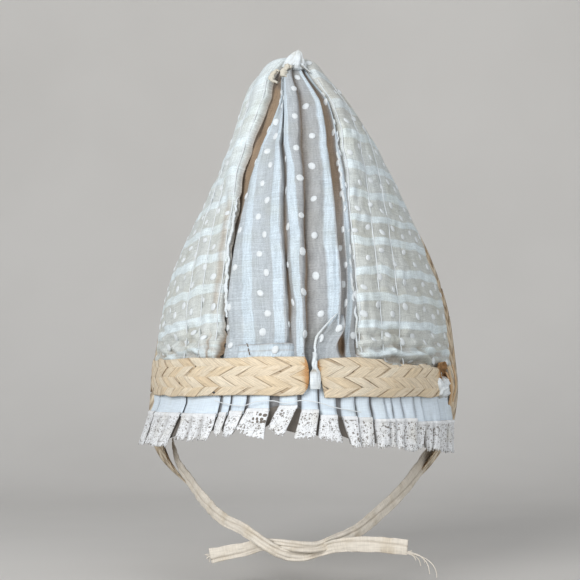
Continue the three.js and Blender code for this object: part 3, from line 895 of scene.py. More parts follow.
# %% Side cover
COVER_LIFT = 0.9
COVER_END = 8.7
BARE_STRAW_LEFT, BARE_STRAW_RIGHT = 0.06, 0.11
SEWN_EVERY = 9.6
SEWN_FROM = 1.4
STRIPE_HEIGHTS_RIGHT = (-2, 6.6, 16.3, 25.5, 35.3, 44.6, 55.8, 63.6, 73, 83.5, 96, 108, 120, 132)
STRIPE_HEIGHTS_LEFT = (-6, 4.4, 15.2, 26.2, 37.2, 48.6, 60, 70.8, 81.6, 92.6, 104, 116, 128)
LEFT_SLOPE = 11.0
EDGE_HEIGHTS = (14, 27, 38, 50, 59, 70, 82, 98)
EDGE_LEFT = (0.07, 0.08, 0.10, 0.10, 0.08, 0.06, 0.0, 0.0)
EDGE_RIGHT = (1.01, 0.99, 0.957, 0.955, 0.948, 0.955, 0.99, 1.0)
COVER_COLUMNS = 361
COVER_SPREAD = 101

cover_arch = np.linspace(-COVER_END, COVER_END, COVER_COLUMNS)[:, None]
cover_share = np.linspace(0, 1, COVER_SPREAD)[None, :] ** 1.25
on_left = cover_arch < 0
below_peak = np.clip((np.abs(cover_arch) - 4.6) / 1.5, 0, 1)
bare = np.where(on_left, BARE_STRAW_LEFT, BARE_STRAW_RIGHT) * below_peak
bare = bare * (1 + 0.25 * wrinkle(cover_arch * 2.3, 4, 6))
edge_station = np.minimum(np.abs(cover_arch), RIM - 1)
edge_z = section(edge_station, "z")
bare = bare + 0.26 * on_left * np.clip((14 - edge_z) / 3, 0, 1)
left_edge = -crown_turn(edge_station, np.interp(edge_z, EDGE_HEIGHTS, EDGE_LEFT))
right_edge = crown_turn(edge_station, np.interp(edge_z, EDGE_HEIGHTS, EDGE_RIGHT))
seam_at = np.where(on_left, left_edge, right_edge)
cover_turn = seam_at + (1 - bare - seam_at) * cover_share
cover_base = arched(cover_arch, cover_turn)
cover_walk = lengths_along(cover_base)
cover_z = cover_base[..., 2]
left_z = cover_z + LEFT_SLOPE * (cover_turn - 0.45)
right_count = np.interp(cover_z, STRIPE_HEIGHTS_RIGHT, np.arange(len(STRIPE_HEIGHTS_RIGHT)))
left_count = np.interp(left_z, STRIPE_HEIGHTS_LEFT, np.arange(len(STRIPE_HEIGHTS_LEFT)))
over_ridge = np.clip(cover_arch / 1.2 + 0.5, 0, 1)
cover_count = left_count * (1 - over_ridge) + right_count * over_ridge
cover_count = cover_count + 0.09 * wrinkle(cover_walk / 6.5, cover_z / 11, 8)
cover_cloth = np.stack([cover_count * STRIPE_PERIOD, cover_walk], axis=-1)
print("cover up to", round(float(cover_walk.max())), "mm from its seam to the front edge")

# %% Cover wrinkles
# Each puff: its walk from the seam, half its width, how far it stands out, and the height where it ends
FOOT_PUFFS = ((2.4, 2.1, 2.6, 21), (6.8, 2.1, 2.9, 25))
FOOT_CREASES = (0.2, 4.6, 9.1)

sewn = np.abs((cover_walk - SEWN_FROM) / SEWN_EVERY - np.round((cover_walk - SEWN_FROM) / SEWN_EVERY))
sewn_here = np.clip((SEWN_FROM + 2.6 * SEWN_EVERY - cover_walk) / 6, 0, 1)
puff = 0.9 * np.where(sewn_here > 0, np.sqrt(np.clip(sewn * 2, 0, 1)), 0.8)
low_down = np.clip((30 - cover_z) / 14, 0, 1)
roll_in = between((0, 1.0, 2.4, 6, 60), (-2.4, 0.1, 0.7, 0.3, 0), cover_walk)
shoulder = np.where(on_left, 1.3, 0.4) * np.clip((cover_z - 62) / 25, 0, 1)
shoulder = shoulder * np.exp(-((cover_walk - 4.5) / 4.5) ** 2)
wavy = 2.4 * wrinkle(cover_walk / 8, cover_z / 26, 5) + 0.35 * cover_walk * np.where(on_left, -0.3, 0.12)
level_fold = 1.25 * low_down * np.sin(cover_z * 1.35 + wavy)
foot_crumple = 0.9 * wrinkle(cover_walk / 4, cover_z / 3, 13)
foot_crumple = foot_crumple + 0.4 * wrinkle(cover_walk / 1.8, cover_z / 1.6, 15)
cover_crumple = (
    0.5 * wrinkle(cover_walk / 6.5, cover_z / 6.5, 11)
    + 0.26 * wrinkle(cover_walk / 2.4, cover_z / 3.1, 12)
    + 0.12 * wrinkle(cover_walk / 1.1, cover_z / 1.3, 14)
    + low_down * foot_crumple
)
stripe_pucker = 0.22 * np.cos(cover_count * 2 * math.pi) * (1 + wrinkle(cover_walk / 2.6, cover_count, 16))
bumps = puff - 0.5 + cover_crumple + level_fold + stripe_pucker
foot_puffs = np.zeros_like(cover_z)
for middle, half, rise, top in FOOT_PUFFS:
    domed = np.sqrt(np.clip(1 - ((cover_walk - middle - 0.04 * (cover_z - 12)) / half) ** 2, 0, 1))
    foot_puffs = foot_puffs + rise * domed * np.sqrt(np.clip((top - cover_z) / 9, 0, 1)) * on_left
drawn_flat = 1 - 0.75 * np.clip((cover_turn - 0.62) / 0.2, 0, 1)
smoothed = 1 - 0.6 * (foot_puffs > 0)
cover_height = COVER_LIFT + 0.5 + roll_in + shoulder + bumps * drawn_flat * smoothed + foot_puffs
near_edge = np.clip((cover_share - 0.93) / 0.07, 0, 1)
cover_height = cover_height * (1 - 0.75 * near_edge)
cover_height = np.minimum(cover_height, 1.5 + 0.5 * np.clip(cover_z - 12, 0, 20))
cover_height = cover_height * (1 - 0.3 * on_left * np.clip((cover_z - 114) / 8, 0, 1))
cover_points = lifted(cover_base, np.maximum(cover_height, -2.4))
# Painted shade: dark creases between the foot puffs.
crease_shade = sum(np.exp(-((cover_walk - spot) / 0.55) ** 2) for spot in FOOT_CREASES)
crease_shade = crease_shade * np.clip((24 - cover_z) / 6, 0, 1) * on_left
# A browner band along the left margin, mixed towards the fold colour.
brown_margin = np.clip((cover_z - 26) / 8, 0, 1) * np.clip((76 - cover_z) / 10, 0, 1) * on_left
brown_margin = brown_margin * np.exp(-((cover_walk - 2.7) / 1.3) ** 2)
# Painted shade where the edge rolls into the seam's valley, and in the hollows of the crumples low down.
cover_shade = np.clip(0.72 - cover_walk / 1.2, 0, 1)
cover_shade = cover_shade + 0.5 * low_down * np.clip(-level_fold - cover_crumple - 0.3, 0, 1)
# Painted shade on the top of the right side, where the fill light falls most.
top_right_shade = np.where(on_left, 0, 0.16) * np.clip((cover_z - 98) / 10, 0, 1)
cover_shade = cover_shade + 0.9 * crease_shade + 0.5 * brown_margin + top_right_shade
upper_left = np.where(on_left, 0.15 + 0.6 * np.clip((cover_z - 56) / 20, 0, 1), 0)
turned_under = np.where(on_left, 8 * np.clip((cover_z - 60) / 22, 0, 1), 0)
cover_double = np.clip((turned_under - cover_walk) / 3 + 0.6, 0, 0.8) + 0.75 * upper_left
upper_right = np.clip((cover_z - 62) / 15, 0, 1) * np.clip((108 - cover_z) / 14, 0, 1)
upper_right = np.where(on_left, 0, 0.35 * upper_right)
at_peak = np.where(on_left, 0.5, 0.1) * np.clip((cover_z - 112) / 5, 0, 1)
cover_double = np.clip(cover_double + upper_right + at_peak, 0, 0.85)
cover = cloth_sheet("side_cover", cover_points, cover_cloth, cover_shade, 0.45, double=cover_double)
take_in(cover, side_muslin, ["brim_cover"])

# %% [markdown]
# ## Pleated crown
# The back of the crown is one width of muslin, drawn into pleats that run up to the peak. Its folds are a
# table. Each row is a fold line: how far across the crown it lies near the peak, above the middle, at the
# middle and near the band, how far it stands out, how dark it is in the upper and in the lower crown, as
# painted shade mixed with the brown seen through the sheer, and which stripe of the cloth lies there. The
# grid has as many columns between each pair of lines, so the sharp edges, where lines lie close, get the
# finest mesh.

# %% Crown folds
FOLD_COLUMNS = ("peak", "high", "mid", "low", "rise", "deep", "faint", "stripe")
FOLDS = np.array((
    (-0.030, -0.030, -0.020, 0.000, 0.2, 0.50, 0.45, -0.95),
    (0.000, -0.010, 0.000, 0.020, -1.6, 0.85, 0.70, -0.85),
    (0.060, 0.040, 0.050, 0.060, -2.2, 1.00, 0.70, -0.70),
    (0.150, 0.090, 0.105, 0.100, -1.8, 0.95, 0.50, -0.55),
    (0.205, 0.123, 0.128, 0.120, 0.6, 0.15, 0.15, -0.40),
    (0.215, 0.138, 0.197, 0.235, 1.3, 0.00, 0.00, -0.16),
    (0.225, 0.165, 0.233, 0.277, 1.6, 0.00, 0.00, 0.00),
    (0.235, 0.200, 0.270, 0.316, 1.5, 0.00, 0.00, 0.16),
    (0.250, 0.275, 0.330, 0.380, 1.0, 0.00, 0.00, 0.50),
    (0.262, 0.349, 0.396, 0.445, 1.6, 0.00, 0.00, 0.82),
    (0.266, 0.390, 0.445, 0.495, 2.2, 0.00, 0.00, 1.00),
    (0.270, 0.420, 0.485, 0.535, 2.4, 0.00, 0.00, 1.16),
    (0.272, 0.430, 0.495, 0.547, 1.5, 0.05, 0.10, 1.26),
    (0.275, 0.445, 0.512, 0.562, -0.6, 0.60, 0.85, 1.36),
    (0.278, 0.455, 0.530, 0.575, -0.3, 0.40, 0.60, 1.50),
    (0.280, 0.468, 0.545, 0.590, 1.5, 0.05, 0.10, 1.68),
    (0.285, 0.485, 0.562, 0.612, 3.0, 0.00, 0.00, 1.84),
    (0.312, 0.520, 0.600, 0.640, 3.9, 0.00, 0.00, 2.00),
    (0.345, 0.560, 0.640, 0.660, 4.2, 0.00, 0.00, 2.16),
    (0.500, 0.615, 0.652, 0.668, 3.6, 0.05, 0.05, 2.42),
    (0.545, 0.630, 0.660, 0.675, -0.6, 0.70, 0.85, 2.46),
    (0.570, 0.655, 0.672, 0.690, -0.2, 0.40, 0.30, 2.50),
    (0.660, 0.735, 0.735, 0.755, 1.1, 0.05, 0.05, 2.66),
    (0.790, 0.815, 0.800, 0.820, 1.7, 0.00, 0.00, 2.85),
    (0.820, 0.840, 0.840, 0.850, 2.4, 0.00, 0.00, 3.00),
    (0.850, 0.865, 0.870, 0.885, 2.4, 0.00, 0.00, 3.15),
    (0.870, 0.885, 0.885, 0.900, -1.0, 0.95, 0.25, 3.30),
    (0.950, 0.940, 0.910, 0.915, -0.7, 0.80, 0.20, 3.50),
    (0.985, 0.955, 0.925, 0.930, 1.0, 0.10, 0.00, 3.82),
    (0.990, 0.970, 0.948, 0.950, 1.5, 0.00, 0.00, 4.00),
    (0.995, 0.985, 0.970, 0.970, 1.4, 0.00, 0.00, 4.18),
    (1.000, 1.000, 1.000, 1.000, 0.3, 0.20, 0.10, 4.60),
))
FOLD_LEVELS = {"peak": 2.95, "high": 4.6, "mid": 5.95, "low": 7.25}
CROWN_TOP = 0.9
FULLNESS_AT = (0.8, 2.0, 3.0, 4.0, 6.5, 7.4, 8.0, 8.7)
FULLNESS = (0.3, 0.7, 0.95, 1.0, 1.0, 0.85, 0.6, 0.4)
COLUMNS_PER_FOLD = 7
CROWN_ROWS = 200

fold_at = np.linspace(0, len(FOLDS) - 1, COLUMNS_PER_FOLD * (len(FOLDS) - 1) + 1)[:, None]
crown_station = np.linspace(COVER_END, CROWN_TOP, CROWN_ROWS)[None, :]


def fold(column):
    """One measure of the folds at every column of the grid."""
    return between(np.arange(len(FOLDS)), FOLDS[:, FOLD_COLUMNS.index(column)], fold_at)


def fold_share(station):
    """How far across the crown each fold line lies at a station."""
    lines = [fold(name) for name in FOLD_LEVELS]
    share = lines[0]
    levels = list(FOLD_LEVELS.values())
    for low, high, first, second in zip(levels, levels[1:], lines, lines[1:]):
        way = np.clip((station - low) / (high - low), 0, 1)
        share = share + (second - first) * way
    return share


print("folds:", len(FOLDS), "lines,", len(fold_at), "columns")

# %% Crown sheet
CROWN_PUFFS = ((0.115, 0.040, 2.2, 22), (0.200, 0.042, 1.6, 30))
STANDS_OUT = np.array((0, -0.62, 0.08))

crown_share = fold_share(crown_station)
crown_line = lengths_along(hood(crown_station, 0 * crown_station))
crown_walk = np.broadcast_to(crown_line, crown_share.shape)
lower = np.clip((crown_station - 4.8) / 1.6, 0, 1)
wander = 0.007 * wrinkle(fold_at * 0.5, crown_walk / 11, 25)
wander = wander + 0.004 * wrinkle(fold_at * 0.9, crown_walk / 4, 26)
wander = wander + 0.016 * lower * wrinkle(fold_at * 0.18, crown_walk / 9, 28)
crown_share = crown_share + wander * np.sin(np.clip(crown_share, 0, 1) * math.pi)
crown_base = hood(crown_station, crown_turn(crown_station, crown_share))
crown_cloth = np.stack(np.broadcast_arrays(fold("stripe") * STRIPE_PERIOD, crown_walk), axis=-1)
fullness = between(FULLNESS_AT, FULLNESS, crown_station)
crown_z = crown_base[..., 2]
crown_x = crown_base[..., 0]
gathered = np.clip((30 - crown_z) / 14, 0, 1)
small_folds = (
    0.38 * wrinkle(crown_x / 2.6, crown_walk / 24, 21)
    + 0.24 * wrinkle(crown_x / 1.2, crown_walk / 9, 22)
    + 0.16 * wrinkle(crown_x / 3, crown_walk / 2.6, 23)
)
left_puffs = np.zeros_like(crown_z)
for middle, half, rise, top in CROWN_PUFFS:
    domed = np.sqrt(np.clip(1 - ((crown_share - middle) / half) ** 2, 0, 1))
    left_puffs = left_puffs + rise * domed * np.sqrt(np.clip((top - crown_z) / 10, 0, 1))
pulled = 0.7 * wrinkle(crown_x / 2.2, crown_walk / 6, 24) + 0.3 * wrinkle(crown_x, crown_walk / 2, 27)
pulled = gathered * pulled
crown_height = fold("rise") * fullness + small_folds * (0.4 + 0.6 * fullness) + left_puffs + pulled
filled = lower * np.clip((crown_share - 0.862) / 0.02, 0, 1) * np.clip((0.945 - crown_share) / 0.02, 0, 1)
crown_height = crown_height + 1.9 * filled
eye = np.exp(-((crown_share - 0.913) / 0.027) ** 2 - ((crown_z - 18.2) / 4.2) ** 2)
crown_height = crown_height * (1 - eye) - 2.6 * eye
crown_height = np.minimum(crown_height, 1.8 + 0.5 * np.clip(crown_z - 12, 0, 20))
crown_out = 0.38 * normals_of(crown_base) + STANDS_OUT
crown_out /= np.linalg.norm(crown_out, axis=-1, keepdims=True)
crown_points = crown_base + crown_out * crown_height[..., None]
# Painted shade, with the brown seen through the sheer, in the depths of the folds, and a dark hole painted in
# shadow where the eye sinks in.
crown_shade = (fold("deep") * (1 - lower) + fold("faint") * lower) * np.clip(fullness * 1.3 - 0.12, 0, 1)
crown_shade = np.maximum(crown_shade * (1 - 0.6 * gathered), np.clip(2.4 * eye - 0.5, 0, 1))
crown_double = np.clip(0.75 - 1.5 * np.clip(crown_share - 0.15, 0, 1), 0, 0.75)
crown = cloth_sheet("pleated_crown", crown_points, crown_cloth, crown_shade, 0.4, double=crown_double)
take_in(crown, crown_muslin, ["crown"])

# %% [markdown]
# ## Woven dots
# The muslin is spotted with raised white dots, in two staggered rows between each pair of stripes. They could
# be drawn in the material, but they stand up from the cloth and catch the light. So each is a small flattened
# ball, laid on the bent grid by its cloth distances. Few faces are enough, since there are hundreds.

# %% Dots
DOT_ROWS = (0.36, 0.64)
DOT_EVERY = 14.0
DOT_SIZE = (1.2, 1.42, 0.34)
DOT_STRAY = 0.7
DOT_OFF_LINE = 0.05


def read_grid(values, i, j):
    """A bent grid's value between its points."""
    i = min(max(i, 0), values.shape[0] - 1.001)
    j = min(max(j, 0), values.shape[1] - 1.001)
    a, b = int(i), int(j)
    s, t = i - a, j - b
    low = values[a, b] * (1 - s) + values[a + 1, b] * s
    high = values[a, b + 1] * (1 - s) + values[a + 1, b + 1] * s
    return low * (1 - t) + high * t


def stitch_dots(name, places, seed):
    """Dots at places, each given as its middle, its outward and its lengthwise direction."""
    draw = np.random.default_rng(seed)
    bm = bmesh.new()
    for middle, out, lengthwise in places:
        beside = np.cross(lengthwise, out)
        size = np.array(DOT_SIZE) * draw.uniform(0.8, 1.2, 3)
        turn = draw.uniform(-0.9, 0.9)
        ahead = lengthwise * math.cos(turn) + beside * math.sin(turn)
        aside = np.cross(ahead, out)
        axes = np.stack([aside * size[0], ahead * size[1], out * size[2]], axis=1) * MM
        matrix = Matrix([[*axes[k], middle[k] * MM] for k in range(3)] + [[0, 0, 0, 1]])
        bmesh.ops.create_uvsphere(bm, u_segments=10, v_segments=6, radius=1, matrix=matrix)
    uv_layer = bm.loops.layers.uv.new("cloth")
    for face in bm.faces:
        for loop in face.loops:
            loop[uv_layer].uv = loop.vert.co.xz / MM
    bmesh.ops.recalc_face_normals(bm, faces=bm.faces)
    return as_object(bm, name)


def unit(vector):
    """A direction made one unit long."""
    return vector / np.linalg.norm(vector)


# %% Crown dots
HEM_SHARES = (0.2, 0.63)
LOWEST_BY_HEM, LOWEST_ON_CROWN = 19.5, 15

crown_facing = normals_of(crown_points)
crown_dots = []
stripe_line = fold("stripe")[:, 0]
walk_line = crown_walk[0]
stray = np.random.default_rng(33)
for stripe in range(-1, 5):
    for row, offset in enumerate(DOT_ROWS):
        for walked in np.arange(4 + row * DOT_EVERY / 2 + 3.1 * (stripe % 2), walk_line[-1] - 6, DOT_EVERY):
            count = stripe + offset + stray.uniform(-DOT_OFF_LINE, DOT_OFF_LINE)
            walked = walked + stray.uniform(-DOT_STRAY, DOT_STRAY)
            if not stripe_line[0] + 0.1 < count < stripe_line[-1] - 0.05:
                continue
            i = float(np.interp(count, stripe_line, np.arange(len(stripe_line))))
            j = float(np.interp(walked, walk_line, np.arange(len(walk_line))))
            by_hem = HEM_SHARES[0] < read_grid(crown_share, i, j) < HEM_SHARES[1]
            lowest = LOWEST_BY_HEM if by_hem else LOWEST_ON_CROWN
            if read_grid(crown_shade, i, j) > 0.5 or read_grid(crown_z, i, j) < lowest:
                continue
            ahead = unit(read_grid(crown_points, i, j + 2) - read_grid(crown_points, i, j))
            out = unit(read_grid(crown_facing, i, j))
            crown_dots.append((read_grid(crown_points, i, j), out, ahead))
take_in(stitch_dots("crown_dots", crown_dots, 31), white_thread)

# %% Side dots
RIDGE_COLUMN = COVER_COLUMNS // 2
RIDGE_CLEAR = 12
# Each side: its first and last column of the cover, and the height of its lowest dot
DOTTED_SIDES = (
    (0, RIDGE_COLUMN - RIDGE_CLEAR, 15),
    (RIDGE_COLUMN + RIDGE_CLEAR, COVER_COLUMNS - 1, 12.5),
)
MOST_DOUBLED = 0.84

cover_facing = normals_of(cover_points)
cover_dots = []
for first, last, lowest in DOTTED_SIDES:
    columns = np.arange(first, last + 1, 6)
    for stripe in range(1, 13):
        for row, offset in enumerate(DOT_ROWS):
            for walked in np.arange(2.5 + row * DOT_EVERY / 2 + 2.2 * (stripe % 3), 95, DOT_EVERY):
                walked = walked + stray.uniform(-DOT_STRAY, DOT_STRAY)
                count = stripe + offset + stray.uniform(-DOT_OFF_LINE, DOT_OFF_LINE)
                spread = np.arange(COVER_SPREAD)
                ways = np.array([np.interp(walked, cover_walk[i], spread) for i in columns])
                counts = np.array([read_grid(cover_count, i, j) for i, j in zip(columns, ways)])
                order = np.argsort(counts)
                if not counts.min() < count < counts.max():
                    continue
                i = float(np.interp(count, counts[order], columns[order]))
                row_walk = cover_walk[int(round(i))]
                if walked > row_walk[-1] - 2:
                    continue
                j = float(np.interp(walked, row_walk, spread))
                middle = read_grid(cover_points, i, j)
                if middle[2] < lowest or read_grid(cover_double, i, j) > MOST_DOUBLED:
                    continue
                ahead = unit(read_grid(cover_points, i, j + 1) - middle)
                cover_dots.append((middle, unit(read_grid(cover_facing, i, j)), ahead))
take_in(stitch_dots("cover_dots", cover_dots, 32), white_thread)
print("dots:", len(crown_dots), "on the crown and", len(cover_dots), "on the sides")

# %% [markdown]
# ## Sewing threads
# The muslin is sewn down to the straw in lines that follow the plait's rows. The thread lies in the dip of
# each line. It is a thin tube along the bent grid that dips where a stitch goes in. A tight thread doesn't
# follow every wrinkle, so its path is evened out. It spans the dips and goes under the crests.

# %% Sewn lines
SEWN_LINES = 3
SEWN_RIDGE_CLEAR = 42
SEWN_PULL = 9
THREAD = 0.22


def pulled_straight(path):
    """A thread's path evened out over a few stitches, so that it spans the dips between the folds."""
    share = np.ones(SEWN_PULL) / SEWN_PULL
    return np.stack([np.convolve(path[:, k], share, "valid") for k in range(3)], axis=-1)


sewn_paths = []
SEWN_SIDES = ((6, RIDGE_COLUMN - SEWN_RIDGE_CLEAR), (RIDGE_COLUMN + SEWN_RIDGE_CLEAR, COVER_COLUMNS - 7))
for first, last in SEWN_SIDES:
    for line in range(SEWN_LINES):
        target = SEWN_FROM + line * SEWN_EVERY
        path = []
        for i in range(first, last):
            if cover_walk[i, -1] < target + 2:
                continue
            strayed = target + 0.6 * wrinkle(i / 40, line, 51)
            j = float(np.interp(strayed, cover_walk[i], np.arange(COVER_SPREAD)))
            over = 0.12 + 0.16 * math.sin(i * 0.9)
            path.append(read_grid(cover_points, i, j) + read_grid(cover_facing, i, j) * over)
        if len(path) > SEWN_PULL:
            sewn_paths.append(pulled_straight(np.array(path)))
take_in(threads("sewn_lines", sewn_paths, THREAD), white_thread)

# %% [markdown]
# ## Peak
# At the top, the cloths are bunched together and wrapped, with the tip of the bunch standing up. A bunch of
# separate folds would need a simulation. This one starts as a ball whose rings are drawn in to a point, with
# flutes where the cloth is folded. Beside it, the muslin is torn and has curled into two brownish rolls.

# %% Peak knot
KNOT_HEIGHT = 7.8
KNOT_PROFILE_AT = (0, 0.15, 0.4, 0.65, 0.85, 1.0)
KNOT_PROFILE = (2.4, 3.9, 3.6, 2.6, 1.6, 0.2)
KNOT_LEAN = np.array((0.05, -0.8, 0.6))
KNOT_SEAT = hood(1.15, 0.12) + 0.6 * unit(KNOT_LEAN)


def make_knot():
    bm = bmesh.new()
    bmesh.ops.create_uvsphere(bm, u_segments=72, v_segments=40, radius=1)
    uv_layer = bm.loops.layers.uv.new("cloth")
    shade_layer = bm.verts.layers.float.new("shade")
    up = unit(np.array((0.12, -0.25, 1.0)))
    side = unit(np.cross((0, 1, 0), up))
    depth = np.cross(up, side)
    for vert in bm.verts:
        round_way = math.atan2(vert.co.y, vert.co.x)
        high = math.acos(max(-1, min(1, -vert.co.z))) / math.pi
        flute = math.sin(round_way * 5 + 2.2 * high) + 0.6 * math.sin(round_way * 9 - 3 * high)
        reach = float(between(KNOT_PROFILE_AT, KNOT_PROFILE, high)) * (1 + 0.16 * flute * (1 - high))
        reach *= 1 + 0.2 * float(wrinkle(round_way * 1.5 + 9, high * 3, 61))
        reach *= 1 + 0.07 * float(wrinkle(round_way * 4 + 19, high * 5, 62))
        lean = side * 1.6 * high
        place = KNOT_SEAT + lean + up * (high - 0.3) * KNOT_HEIGHT
        place = place + side * math.cos(round_way) * reach * 1.05
        place = place + depth * math.sin(round_way) * reach * 0.8
        vert.co = place * MM
        # Painted shade in the grooves between the flutes, less towards the tip.
        vert[shade_layer] = max(0.0, min(1.0, -0.5 * flute - 0.1)) * (1 - 0.8 * high)
    for face in bm.faces:
        for loop in face.loops:
            loop[uv_layer].uv = loop.vert.co.xz / MM
    bmesh.ops.recalc_face_normals(bm, faces=bm.faces)
    return as_object(bm, "peak_bunch")


take_in(make_knot(), edge_cotton, ["peak_knot"])


def on_crown(share, z, height):
    """A place over the crown: how far across, how high up and how far out."""
    station = station_at(z)
    point = hood(station, crown_turn(station, share))
    out = unit(np.array((point[0] * 0.6, -30.0, 12.0)))
    return point + out * height


# %% [markdown]
# The two torn rolls, a wrap round the bunch and the rolled edges of the two seams are made alike. Each is a
# few places on the crown, given by how far across, how high and how far out they lie, with a row of radii
# and how far the roll strays.

# %% Rolls on the crown
CROWN_ROLLS = {
    "torn_roll_0": (torn_muslin, (0.5, 0.85, 1.0, 0.9, 0.5), 0.25, (
        (0.16, 115.4, 2.4), (0.04, 116.4, 2.8), (-0.01, 118.4, 3.0), (0.07, 120.2, 3.0),
        (0.17, 119.8, 2.8))),
    "torn_roll_1": (torn_muslin, (0.6, 1.2, 1.4, 1.4, 0.8), 0.25, (
        (0.41, 117.4, 2.8), (0.34, 118.2, 3.2), (0.33, 120.2, 3.4), (0.42, 121.6, 3.3),
        (0.56, 121.4, 3.2))),
    "peak_wrap": (edge_cotton, (0.5, 0.8, 0.75, 0.4), 0.15, (
        (0.60, 122.4, 3.0), (0.78, 123.4, 3.3), (0.95, 122.6, 3.2), (1.12, 120.4, 2.4))),
    "seam_roll_left": (edge_cotton, (0.2, 0.45, 0.6, 0.5, 0.65, 0.6, 0.35), 0.5, (
        (0.049, 71.7, 0.5), (0.059, 67.7, 0.9), (0.076, 61.3, 1.0), (0.078, 54.0, 1.0), (0.098, 47.6, 1.0),
        (0.105, 39.2, 1.0), (0.108, 32.4, 0.9), (0.118, 27.8, 0.6))),
    "seam_roll_right": (edge_cotton, (0.25, 0.4, 0.5, 0.4, 0.5, 0.45, 0.3), 0.45, (
        (1.000, 97.0, 0.8), (0.972, 88.0, 1.0), (0.955, 79.7, 1.2), (0.947, 70.0, 1.2), (0.945, 62.5, 1.2),
        (0.955, 55.0, 1.2), (0.954, 46.0, 1.2), (0.957, 37.6, 1.2), (0.990, 27.0, 1.1),
        (1.010, 17.0, 0.8))),
}
for index, (name, (material, radii, stray_by, spots)) in enumerate(CROWN_ROLLS.items()):
    path = [on_crown(*spot) for spot in spots]
    take_in(rolled(name, path, radii, 0.7, 70 + index, stray_by, 0.45), material)

# %% [markdown]
# ## Folds above the band
# Three small things lie over the foot of the crown. A flat strip of hem is stitched over the middle pleats, a
# leaf-shaped fold of muslin is caught beside it, and the leaf's rolled edge runs down to the tab between
# the two bands. Each sheet is a grid between two given edges, because a fold that is caught at both
# ends has no simpler rule.


# %% Hem strip and leaf fold
def small_sheet(left, right, rows, lift, seed=80, columns=25):
    """A small sheet between two edges on the crown, each a list of (share, z), with its own lift."""
    at = np.linspace(1, 0, rows)
    edges = [through_points(np.asarray(edge, float), at * (len(edge) - 1)) for edge in (left, right)]
    share = np.linspace(0, 1, columns)[:, None, None]
    spots = edges[0][None] * (1 - share) + edges[1][None] * share
    station = station_at(spots[..., 1])
    base = hood(station, crown_turn(station, spots[..., 0]))
    height = lift(share[..., 0], at[None, :])
    height = height + 0.22 * wrinkle(share[..., 0] * 6, at[None, :] * 5, seed)
    base = lifted(base, height)
    across = lengths_along(base.swapaxes(0, 1)).T
    return base, np.stack([across, lengths_along(base)], axis=-1)


hem_points, hem_cloth = small_sheet(
    ((0.225, 17.8), (0.225, 11.5)), ((0.61, 18.6), (0.61, 11.5)), 25,
    lambda share, down: (3.1 + 0.4 * np.sin(share * 13) + 0.5 * np.exp(-(down / 0.1) ** 2)
                         - 3.4 * np.clip((share - 0.84) / 0.16, 0, 1) ** 2), columns=81)
hem_down = np.linspace(1, 0, 25)[None, :]
# Painted shadow along the strip's top edge, and the dark line of its seam a little below.
hem_shadow_and_seam = 0.5 * (hem_down < 0.03) + 0.4 * np.exp(-((hem_down - 0.34) / 0.03) ** 2)
hem_cloth = hem_cloth[..., ::-1] * (0.3, 1) + (0.9 * STRIPE_PERIOD, 0)
hem = cloth_sheet("hem_strip", hem_points, hem_cloth, hem_shadow_and_seam, 0.5, double=0.5)
take_in(hem, crown_muslin)

leaf_points, leaf_cloth = small_sheet(
    ((0.875, 28.6), (0.840, 26.4), (0.790, 22.6), (0.747, 19.2), (0.733, 16.0), (0.729, 12.0)),
    ((0.900, 28.6), (0.902, 26.0), (0.898, 22.8), (0.866, 19.2), (0.856, 16.5), (0.872, 12.0)), 41,
    lambda share, down: 2.0 + 2.2 * np.clip(down / 0.3, 0, 1) - 0.8 * np.sin(share * math.pi) - 0.5 * share,
    columns=31)
# Painted shade along the leaf's right edge, beside the eye.
leaf_shade = 0.5 * np.clip((np.linspace(0, 1, 31)[:, None] - 0.94) / 0.06, 0, 1)
leaf_cloth = leaf_cloth * (0.5, 1) + (0.28 * STRIPE_PERIOD, 0)
leaf = cloth_sheet("leaf_fold", leaf_points, leaf_cloth, leaf_shade, 0.4, double=0.3)
take_in(leaf, crown_muslin)

leaf_edge = [on_crown(*spot) for spot in (
    (0.875, 28.6, 2.2), (0.840, 26.4, 3.6), (0.790, 22.6, 4.3), (0.747, 19.2, 4.5), (0.733, 16.0, 4.6),
    (0.731, 13.4, 4.8))]
leaf_roll = rolled("leaf_edge", leaf_edge, (0.15, 0.3, 0.35, 0.4, 0.5, 0.5), 0.8, 83)
take_in(leaf_roll, edge_cotton)

FOLD_DOTS = ((0.772, 18.9, 4.1), (0.880, 22.6, 3.5), (0.470, 15.2, 3.6))
BACKWARDS, UPWARDS = np.array((0.0, -0.98, 0.2)), np.array((0, 0.2, 0.98))
fold_dots = [(on_crown(*spot), BACKWARDS, UPWARDS) for spot in FOLD_DOTS]
take_in(stitch_dots("fold_dots", fold_dots, 34), white_thread)

STITCHES = (((0.276, 17.4), (0.287, 16.2)), ((0.289, 15.6), (0.294, 14.6)), ((0.297, 14.4), (0.303, 13.4)))
stitch_paths = [[on_crown(*spot, 3.75) for spot in stitch] for stitch in STITCHES]
take_in(threads("hem_stitches", stitch_paths, 0.2), dark_thread)

# %% [markdown]
# ## Straw bands
# The band round the nape is a plait in two lengths that leave a gap behind the middle. Each follows the rim,
# on top of the muslin and the curtain, with the same helper as the brim but a finer mesh, since it is seen
# from close by. Its cut ends have turned orange, so the strand's tone falls towards them. The right
# length is worn along its top and at its end.

